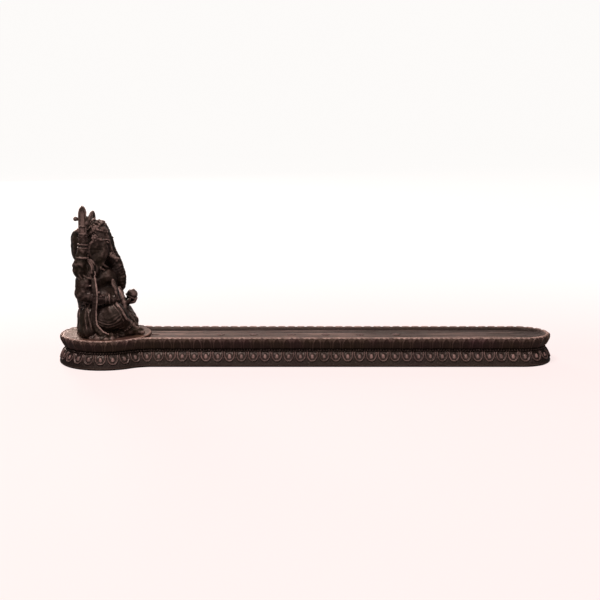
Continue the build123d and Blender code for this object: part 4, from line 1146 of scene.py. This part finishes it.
for s_, n_ in ((-1, "right"), (1, "left")):
    bloom("hair_bun", (-112.6, s_ * 8.6, 66.6), 1.0)
    bloom("hair_bun", (-113.6, s_ * 8.4, 62.0), 0.9, 5, 0.45)
    bloom("tiered_crown", (-108.8, s_ * 6.4, 71.2), 0.95, 6, 0.45)
    for k in range(5):
        a = 0.5 + 0.45 * k
        put("hair_bun", limb([(-114.6 + 0.5 * k, s_ * (8.0 - 0.1 * k), 60.4 - 2.0 * k, 0.3), (-113.4 + 0.4 * k, s_ * (8.5 - 0.1 * k), 59.6 - 2.0 * k, 0.5), (-112.2 + 0.3 * k, s_ * (8.1 - 0.1 * k), 60.6 - 2.0 * k, 0.3)], 0.3), 0.5)
    # armlet: band with a raised leaf on the upper arm
    bloom(n_ + "_front_arm", (-112.4, s_ * 17.6, 43.6), 0.95, 7, 0.42)
    put(n_ + "_front_arm", limb([(-115.4, s_ * 16.6, 43.0, 0.4), (-112.6, s_ * 17.9, 42.4, 0.42), (-109.8, s_ * 17.2, 43.0, 0.4)], 0.3), 0.4)


# ---- divide the figure and make its meshes
JOIN_K = {"seat_cushion": 0.5, "trunk": 1.2, "right_tusk": 0.3, "left_tusk": 0.3, "tiered_crown": 0.25, "goad": 0.25, "noose": 0.25,
          "sweet_bowl": 0.3, "right_scarf": 0.25, "left_scarf": 0.25, "front_sash": 0.3, "right_ear": 0.5, "left_ear": 0.5,
          "right_front_arm": 0.8, "left_front_arm": 0.8, "right_rear_arm": 0.8, "left_rear_arm": 0.8, "hair_bun": 0.5,
          "right_leg": 0.7, "left_leg": 0.7, "hip_drapery": 0.7, "elephant_head": 0.9, "figure_torso": 0.8}
ORDER = list(NODES)
GALL = np.full(GN, FAR, F32)
M1, M2 = np.full(GN, FAR, F32), np.full(GN, FAR, F32)
WHO = np.full(GN, -1, np.int8)
for i, nm in enumerate(ORDER):
    w, f = NODES[nm]["w"], NODES[nm]["F"]
    GALL[w] = smin(GALL[w], f, JOIN_K[nm])
    a, b, c = M1[w], M2[w], WHO[w]
    less = f < a
    M2[w] = np.where(less, a, np.minimum(b, f))
    WHO[w] = np.where(less, i, c)
    M1[w] = np.where(less, f, a)
# the carver's hand: slow unevenness and small tool marks, less on the parts that are left smooth
ROUGH = {"seat_cushion": 1.0, "hip_drapery": 1.0, "figure_torso": 0.55, "right_leg": 0.65, "left_leg": 0.65, "right_front_arm": 1.0, "left_front_arm": 1.0,
         "right_rear_arm": 1.15, "left_rear_arm": 1.15, "elephant_head": 0.95, "right_ear": 0.6, "left_ear": 0.6, "trunk": 0.8, "right_tusk": 0.2, "left_tusk": 0.2,
         "hair_bun": 0.7, "tiered_crown": 1.2, "goad": 0.35, "noose": 0.4, "sweet_bowl": 0.5, "right_scarf": 0.45, "left_scarf": 0.45, "front_sash": 0.5}


def lattice(seed, step, amp):
    rs = np.random.RandomState(seed)
    mats = []
    for n in GALL.shape:
        t = np.arange(n) * H / step
        i = t.astype(int)
        f = t - i
        m = np.zeros((n, int(n * H / step) + 4), F32)
        r = np.arange(n)
        for d, wgt in enumerate(((1 - f) ** 3 / 6, (3 * f ** 3 - 6 * f ** 2 + 4) / 6, (-3 * f ** 3 + 3 * f ** 2 + 3 * f + 1) / 6, f ** 3 / 6)):
            m[r, i + d] = wgt
        mats.append(m)
    a = rs.uniform(-1, 1, [m.shape[1] for m in mats]).astype(F32) * (amp * 2.2)
    a = np.tensordot(mats[0], a, (1, 0))
    a = np.tensordot(a, mats[1], (1, 1)).transpose(0, 2, 1)
    return np.tensordot(a, mats[2], (2, 1))


RMASK = np.zeros(GALL.shape, F32)
for i, nm in enumerate(ORDER):
    RMASK[WHO == i] = ROUGH.get(nm, 0.7)
RMASK = RMASK + 0.0
CARVE = (lattice(11, 2.1, 0.20) + lattice(12, 0.95, 0.17)) * RMASK
GALL = GALL + CARVE
# the ground stops everything
zf = (FLOOR - 0.02 - AX[2]).astype(F32)[None, None, :]


def blur(a, r):
    for ax in range(3):
        c = np.cumsum(a, axis=ax, dtype=np.float64)
        p = np.take(c, np.minimum(np.arange(a.shape[ax]) + r, a.shape[ax] - 1), axis=ax)
        q = np.take(c, np.maximum(np.arange(a.shape[ax]) - r - 1, 0), axis=ax)
        n = np.minimum(np.arange(a.shape[ax]) + r, a.shape[ax] - 1) - np.maximum(np.arange(a.shape[ax]) - r - 1, 0)
        sh = [1, 1, 1]
        sh[ax] = -1
        a = ((p - q) / n.reshape(sh)).astype(F32)
    return a


CLIPPED = np.clip(GALL, -FAR, FAR)
CURV = blur(CLIPPED, max(1, round(0.55 / H))) - CLIPPED
CURV2 = blur(CLIPPED, max(2, round(1.4 / H))) - CLIPPED


def sample(a, pts):
    q = np.clip((pts - G0) / H, 0, np.array(a.shape) - 1.001)
    i = q.astype(int)
    f = q - i
    x, y, z = i.T
    fx, fy, fz = f.T
    g = lambda dx, dy, dz: a[x + dx, y + dy, z + dz]
    return (((g(0, 0, 0) * (1 - fx) + g(1, 0, 0) * fx) * (1 - fy) + (g(0, 1, 0) * (1 - fx) + g(1, 1, 0) * fx) * fy) * (1 - fz)
            + ((g(0, 0, 1) * (1 - fx) + g(1, 0, 1) * fx) * (1 - fy) + (g(0, 1, 1) * (1 - fx) + g(1, 1, 1) * fx) * fy) * fz)


def tidy(verts, quads, keep_share=0.02):
    """Drops specks: keeps the connected pieces that are more than a small share of the whole."""
    n = len(verts)
    label = np.arange(n)
    e = np.concatenate([quads[:, [0, 1]], quads[:, [1, 2]], quads[:, [2, 3]], quads[:, [3, 0]]])
    while True:
        m = np.minimum(label[e[:, 0]], label[e[:, 1]])
        new = label.copy()
        np.minimum.at(new, e[:, 0], m)
        np.minimum.at(new, e[:, 1], m)
        new = new[new]
        if (new == label).all():
            break
        label = new
    ids, cnt = np.unique(label, return_counts=True)
    good = ids[cnt > max(24, keep_share * n)]
    vk = np.isin(label, good)
    remap = np.cumsum(vk) - 1
    return verts[vk], remap[quads[vk[quads[:, 0]]]]


THIN = {"right_scarf": 0.12, "left_scarf": 0.12, "front_sash": 0.6, "goad": 0.5, "noose": 0.6, "right_rear_arm": 0.7, "left_rear_arm": 0.7, "hair_bun": 0.7,
        "right_front_arm": 0.8, "left_front_arm": 0.8}
FIG = {}
for i, nm in enumerate(ORDER):
    w, f = NODES[nm]["w"], NODES[nm]["F"]
    other = np.where(WHO[w] == i, M2[w], M1[w])
    side = (f - other) * 0.5
    g = np.maximum(GALL[w] + 0.9 * np.maximum(side, 0), side - 0.35)
    g = np.maximum(g, zf[:, :, w[2]])
    g = np.pad(g, 1, constant_values=FAR).astype(F32)
    grid = vdb.FloatGrid(background=FAR)
    grid.copyFromArray(np.ascontiguousarray(g), tolerance=0.0)
    v, q = grid.convertToQuads(isovalue=0.0)
    if len(v) == 0:
        print("EMPTY", nm)
        continue
    q = q.astype(np.int64)
    v = v.astype(float) - 1 + np.array([s.start for s in w])
    v = G0 + v * H
    v, q = tidy(v, q)
    # faces should look outward
    a, b, c = v[q[:, 0]], v[q[:, 1]], v[q[:, 2]]
    if (np.cross(b - a, c - a) * a).sum() < 0:
        q = q[:, ::-1]
    # curvature: convex edges go toward the paler colour, which is rubbed wear and a painted highlight together; hollows
    # go low and get painted shade in resin()
    wear_and_light = sample(CURV, v) * 3.2 + sample(CURV2, v) * 1.1
    wear_and_light = np.where(wear_and_light > 0, wear_and_light * THIN.get(nm, 1.0), wear_and_light)
    wear_and_light = np.clip(0.5 + wear_and_light, 0, 1)
    for pts, r, strength in PAINT:
        near = np.where(((v > pts.min(0) - 2 * r) & (v < pts.max(0) + 2 * r)).all(1))[0]
        if len(near) == 0:
            continue
        dmin = np.full(len(near), 1e9)
        for p0, p1 in zip(pts[:-1], pts[1:]):
            ab = p1 - p0
            t = np.clip(((v[near] - p0) @ ab) / (ab @ ab), 0, 1)
            dmin = np.minimum(dmin, np.linalg.norm(v[near] - p0 - t[:, None] * ab, axis=1))
        wear_and_light[near] = np.maximum(wear_and_light[near], 0.5 + (strength - 0.5) * np.clip(1.6 - dmin / r, 0, 1))
    o = fast_mesh(nm + "_sculpted", v, [q], wear_and_light)
    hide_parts(nm)
    FIG[nm] = o


# ================================================================== materials
def nt(name):
    m = bpy.data.materials.new(name)
    m.use_nodes = True
    t = m.node_tree
    b = t.nodes["Principled BSDF"]
    return m, t, b


def link(t, a, b):
    t.links.new(a, b)


def ramp(t, src, stops):
    r = t.nodes.new("ShaderNodeValToRGB")
    el = r.color_ramp.elements
    while len(el) > 1:
        el.remove(el[-1])
    el[0].position, el[0].color = stops[0][0], (*stops[0][1], 1)
    for p, c in stops[1:]:
        e = el.new(p)
        e.color = (*c, 1)
    link(t, src, r.inputs["Fac"])
    return r.outputs["Color"]


def noise(t, co, scale, detail=4.0, rough=0.55, distort=0.0):
    n = t.nodes.new("ShaderNodeTexNoise")
    n.inputs["Scale"].default_value = scale
    n.inputs["Detail"].default_value = detail
    n.inputs["Roughness"].default_value = rough
    n.inputs["Distortion"].default_value = distort
    link(t, co, n.inputs["Vector"])
    return n.outputs["Fac"]


def math_node(t, op, a, b=None, clamp=False):
    m = t.nodes.new("ShaderNodeMath")
    m.operation = op
    m.use_clamp = clamp
    for i, s in enumerate((a, b)):
        if s is None:
            continue
        if isinstance(s, (int, float)):
            m.inputs[i].default_value = s
        else:
            link(t, s, m.inputs[i])
    return m.outputs[0]


def maprange(t, src, a, b, c, d, clamp=True):
    m = t.nodes.new("ShaderNodeMapRange")
    m.clamp = clamp
    m.inputs["From Min"].default_value, m.inputs["From Max"].default_value = a, b
    m.inputs["To Min"].default_value, m.inputs["To Max"].default_value = c, d
    link(t, src, m.inputs["Value"])
    return m.outputs[0]


def mix(t, fac, a, b, mode="MIX"):
    m = t.nodes.new("ShaderNodeMix")
    m.data_type = "RGBA"
    m.blend_type = mode
    for s, i in ((fac, 0), (a, 6), (b, 7)):
        if isinstance(s, (int, float)):
            m.inputs[i].default_value = s
        elif isinstance(s, tuple):
            m.inputs[i].default_value = (*s, 1)
        else:
            link(t, s, m.inputs[i])
    return m.outputs[2]


def resin(name, dark, mid, worn_and_lit, wear_light_lo, wear_light_hi, rough=(0.34, 0.62), bump=0.12, grain=900, olive=0.5, streaks=False):
    """Cold-cast resin, brush-stained near black, with paler stone showing where it has been rubbed; that paler colour
    is also a painted highlight on raised edges, and the hollows carry painted shade.
    """
    m, t, b = nt(name)
    co = t.nodes.new("ShaderNodeTexCoord").outputs["Object"]
    big = noise(t, co, 62, 3, 0.5)
    patch = noise(t, co, 190, 5, 0.6, 0.4)
    fine = noise(t, co, grain, 4, 0.65)
    speck = noise(t, co, 2600, 2, 0.5)
    at = t.nodes.new("ShaderNodeAttribute")
    at.attribute_name = "wear_and_light"
    wear_and_light = maprange(t, at.outputs["Fac"], wear_light_lo, wear_light_hi, 0.0, 1.0, False)
    broken = maprange(t, patch, 0.34, 0.66, 0.35, 1.15)
    broken2 = maprange(t, fine, 0.35, 0.65, 0.7, 1.15)
    amount = math_node(t, "MULTIPLY", math_node(t, "MULTIPLY", wear_and_light, broken), broken2, True)
    plum = (mid[0] * 1.05, mid[1] * 0.86, mid[2] * 1.12)
    moss = (mid[0] * 1.02, mid[1] * (1 + 0.22 * olive), mid[2] * (1 - 0.25 * olive))
    tint = ramp(t, big, [(0.34, plum), (0.50, mid), (0.66, moss)])
    tint = mix(t, maprange(t, patch, 0.3, 0.7, 0.0, 0.55), tint, dark)
    # stain lies thickest in the hollows
    # painted shade: the hollows are darkened toward a third of the dark colour
    painted_hollow_shade = maprange(t, at.outputs["Fac"], wear_light_lo - 0.36, wear_light_lo - 0.04, 0.62, 0.0)
    tint = mix(t, painted_hollow_shade, tint, tuple(c * 0.35 for c in dark))
    # the paler colour where the edge value is high: rubbed wear and a painted highlight together
    col = mix(t, amount, tint, worn_and_lit)
    dust = maprange(t, speck, 0.66, 0.76, 0.0, 0.22)
    col = mix(t, dust, col, tuple(min(1, c * 1.25) for c in worn_and_lit))
    if streaks:
        # brush strokes and ash stains that run along the tray
        mp2 = t.nodes.new("ShaderNodeMapping")
        mp2.inputs["Scale"].default_value = (0.35, 3.4, 1.0)
        link(t, co, mp2.inputs["Vector"])
        stain = noise(t, mp2.outputs[0], 62, 4, 0.6)
        col = mix(t, maprange(t, stain, 0.42, 0.60, 0.0, 0.24), col, dark)
    link(t, col, b.inputs["Base Color"])
    r = maprange(t, patch, 0.3, 0.7, rough[0], rough[1])
    r = math_node(t, "ADD", r, maprange(t, fine, 0.3, 0.7, -0.05, 0.06), True)
    link(t, r, b.inputs["Roughness"])
    b.inputs["IOR"].default_value = 1.5
    b.inputs["Specular IOR Level"].default_value = 0.36
    b.inputs["Specular Tint"].default_value = (1.0, 0.76, 0.70, 1)
    bp = t.nodes.new("ShaderNodeBump")
    bp.inputs["Strength"].default_value = 0.55
    bp.inputs["Distance"].default_value = 0.00035 * bump / 0.12
    h = math_node(t, "ADD", math_node(t, "MULTIPLY", fine, 0.7), math_node(t, "MULTIPLY", patch, 0.6))
    link(t, h, bp.inputs["Height"])
    if streaks:
        mp = t.nodes.new("ShaderNodeMapping")
        mp.inputs["Scale"].default_value = (1.0, 14.0, 1.0)
        link(t, co, mp.inputs["Vector"])
        st = noise(t, mp.outputs[0], 70, 4, 0.6)
        h2 = math_node(t, "ADD", h, math_node(t, "MULTIPLY", st, 0.9))
        link(t, h2, bp.inputs["Height"])
    link(t, bp.outputs[0], b.inputs["Normal"])
    return m


# the worn colours passed to resin() stand both for paler rubbed stone and for painted highlights on edges and crests
DARK, MID, WORN_AND_LIT = (0.0092, 0.0050, 0.0038), (0.0260, 0.0140, 0.0102), (0.48, 0.292, 0.245)
M_BODY = resin("resin_plinth", DARK, MID, (0.98, 0.62, 0.53), 0.29, 1.55, (0.42, 0.60), 0.10, 800, streaks=True)
M_PETAL = resin("resin_petals", DARK, (0.0205, 0.0112, 0.0088), (0.29, 0.168, 0.152), 0.2, 1.15, (0.30, 0.50), 0.10, 900)
# painted fill light: the upper petals get colours several times lighter than the other petals, standing in for light
# under the overhang
M_UPPER_PAINTED_FILL = resin("resin_upper_petals_painted_fill", (0.030, 0.0162, 0.0130), (0.092, 0.0500, 0.0400), (0.52, 0.315, 0.280), 0.2, 1.15, (0.32, 0.52), 0.10, 900)
M_FIG = resin("resin_figure", DARK, (0.0235, 0.0136, 0.0096), (0.42, 0.258, 0.230), 0.60, 1.40, (0.24, 0.44), 0.10, 1000, 0.5)
M_CLOTH = resin("resin_drapery", DARK, (0.0230, 0.0136, 0.0093), (0.42, 0.260, 0.230), 0.62, 1.42, (0.28, 0.50), 0.14, 1000, 0.6)
M_DISC = resin("resin_ground", (0.030, 0.0138, 0.0104), (0.098, 0.0480, 0.0360), (0.42, 0.235, 0.190), 0.1, 1.1, (0.36, 0.50), 0.16, 700)


def felt_material():
    m, t, b = nt("felt_underside")
    co = t.nodes.new("ShaderNodeTexCoord").outputs["Object"]
    a, c = noise(t, co, 1500, 6, 0.75, 1.5), noise(t, co, 240, 3, 0.6)
    col = ramp(t, a, [(0.3, (0.008, 0.008, 0.009)), (0.6, (0.022, 0.021, 0.022)), (0.8, (0.05, 0.048, 0.05))])
    col = mix(t, maprange(t, c, 0.3, 0.7, 0.0, 0.5), col, (0.012, 0.012, 0.013))
    link(t, col, b.inputs["Base Color"])
    link(t, maprange(t, a, 0.3, 0.7, 0.85, 1.0), b.inputs["Roughness"])
    b.inputs["Sheen Weight"].default_value = 0.4
    bp = t.nodes.new("ShaderNodeBump")
    bp.inputs["Strength"].default_value = 0.8
    bp.inputs["Distance"].default_value = 0.0004
    link(t, a, bp.inputs["Height"])
    link(t, bp.outputs[0], b.inputs["Normal"])
    return m


def steel_material():
    m, t, b = nt("dowel_steel")
    co = t.nodes.new("ShaderNodeTexCoord").outputs["Object"]
    a = noise(t, co, 900, 4, 0.6)
    link(t, ramp(t, a, [(0.3, (0.42, 0.42, 0.43)), (0.7, (0.58, 0.58, 0.59))]), b.inputs["Base Color"])
    b.inputs["Metallic"].default_value = 1.0
    link(t, maprange(t, a, 0.3, 0.7, 0.3, 0.5), b.inputs["Roughness"])
    return m


def dress(o, m, slot_name, *nodes):
    o.data.materials.clear()
    o.data.materials.append(m)
    if nodes:
        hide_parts(*nodes)
    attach(o, "root")


dress(tray_obj, M_BODY, "resin_base", "tray_casting")
dress(disc_obj, M_DISC, "resin_base", "figure_ground_disc")
dress(lower, M_PETAL, "resin_petals", "lower_lotus_petals")
dress(upper, M_UPPER_PAINTED_FILL, "resin_petals", "upper_lotus_petals")
dress(beads, M_PETAL, "resin_petals", "waist_bead_moulding")
dress(rosette_obj, M_PETAL, "resin_petals", "floor_rosettes")
CLOTHS = {"seat_cushion", "hip_drapery", "front_sash", "right_scarf", "left_scarf", "right_leg", "left_leg"}
for nm, o in FIG.items():
    cloth = nm in CLOTHS
    dress(o, M_CLOTH if cloth else M_FIG, "resin_drapery" if nm in {"seat_cushion", "hip_drapery", "front_sash", "right_scarf", "left_scarf"} else "resin_figure")
for nm, m in (("felt_pad", felt_material()), ("figure_dowel", steel_material())):
    o = frame["nodes"][nm]
    o.data.materials.clear()
    o.data.materials.append(m)

# ============================================================ stage and camera
def backdrop():
    """A round paper sweep: flat floor that curves up into a wall and closes overhead, so no view sees its edge."""
    n, m_ = 40, 96
    prof = [(0.02, 0.0), (0.4, 0.0), (1.0, 0.0), (2.0, 0.0)] + [(2.0 + 1.2 * math.sin(t), 1.2 - 1.2 * math.cos(t)) for t in np.linspace(0.04, math.pi / 2, n)]
    prof += [(3.2, 2.4), (3.0, 3.2), (2.4, 3.9), (1.4, 4.3), (0.02, 4.4)]
    verts, faces = [], []
    for r, z in prof:
        verts += [(r * math.cos(2 * math.pi * i / m_), r * math.sin(2 * math.pi * i / m_), z) for i in range(m_)]
    for k in range(len(prof) - 1):
        for i in range(m_):
            a, c = k * m_ + i, k * m_ + (i + 1) % m_
            faces.append((a, c, c + m_, a + m_))
    faces.append(tuple(range(m_))[::-1])
    faces.append(tuple((len(prof) - 1) * m_ + i for i in range(m_)))
    me = bpy.data.meshes.new("backdrop")
    me.from_pydata(verts, [], faces)
    me.polygons.foreach_set("use_smooth", np.ones(len(faces), bool))
    o = bpy.data.objects.new("backdrop", me)
    bpy.context.scene.collection.objects.link(o)
    m, t, b = nt("paper_sweep")
    co = t.nodes.new("ShaderNodeTexCoord").outputs["Object"]
    a = noise(t, co, 3.0, 2, 0.5)
    link(t, ramp(t, a, [(0.3, (0.12, 0.105, 0.105)), (0.7, (0.14, 0.12, 0.12))]), b.inputs["Base Color"])
    ln = t.nodes.new("ShaderNodeVectorMath")
    # painted shadow: the emission is dimmer and pinker near the object, fading out between 0.40 and 0.68 m from a point
    # 0.35 m toward the camera
    ln.operation = "DISTANCE"
    ln.inputs[1].default_value = (0.0, -0.35, 0.0)
    link(t, co, ln.inputs[0])
    painted_shadow_fade = maprange(t, ln.outputs["Value"], 0.40, 0.68, 0.0, 1.0)
    link(t, mix(t, painted_shadow_fade, (0.90, 0.775, 0.762), (0.955, 0.94, 0.925)), b.inputs["Emission Color"])
    b.inputs["Roughness"].default_value = 0.85
    b.inputs["Specular IOR Level"].default_value = 0.2
    # the sweep is lit from within itself, so it stays pale and throws little light back on the object
    b.inputs["Emission Strength"].default_value = 1.0
    me.materials.append(m)
    o.visible_diffuse = False
    o.visible_glossy = False
    o.visible_shadow = False
    return o


backdrop()
sc = bpy.context.scene
cam_data = bpy.data.cameras.new("camera")
cam = bpy.data.objects.new("camera", cam_data)
sc.collection.objects.link(cam)
cam.location = (-0.002781, -0.612765, 0.143517)
cam.rotation_euler = (math.radians(90 - 10.269), 0, 0)
cam_data.lens = 70.854
cam_data.sensor_width = 36
cam_data.clip_start, cam_data.clip_end = 0.02, 20
sc.camera = cam


def area(name, loc, target, size, power, colour=(1, 1, 1)):
    d = bpy.data.lights.new(name, "AREA")
    d.shape = "RECTANGLE"
    d.size, d.size_y = size
    d.energy = power
    d.color = colour
    o = bpy.data.objects.new(name, d)
    sc.collection.objects.link(o)
    o.location = loc
    o.rotation_mode = "QUATERNION"
    o.rotation_quaternion = (Vector(target) - Vector(loc)).to_track_quat("-Z", "Y")
    return o


area("key", (-0.30, -0.50, 1.10), (-0.02, 0, 0.02), (0.24, 0.24), 11.8, (1.0, 0.95, 0.91))
area("fill", (0.9, -0.6, 0.7), (0, 0, 0.02), (0.5, 0.5), 1.6, (1.0, 0.93, 0.90))
area("front", (0.05, -1.25, 0.30), (0, 0, 0.02), (1.5, 0.45), 3.8, (1.0, 0.91, 0.88))
area("back", (-0.20, 1.05, 0.62), (-0.03, 0.0, 0.02), (1.3, 0.35), 2.8, (1.0, 0.80, 0.72))
area("rim", (-0.56, 1.10, 0.27), (-0.12, 0.0, 0.02), (0.34, 0.24), 5.4, (1.0, 0.78, 0.68))
world = bpy.data.worlds.new("studio")
sc.world = world
world.use_nodes = True
world.node_tree.nodes["Background"].inputs["Color"].default_value = (1.0, 0.985, 0.985, 1)
world.node_tree.nodes["Background"].inputs["Strength"].default_value = 0.10
sc.view_settings.view_transform = "Standard"
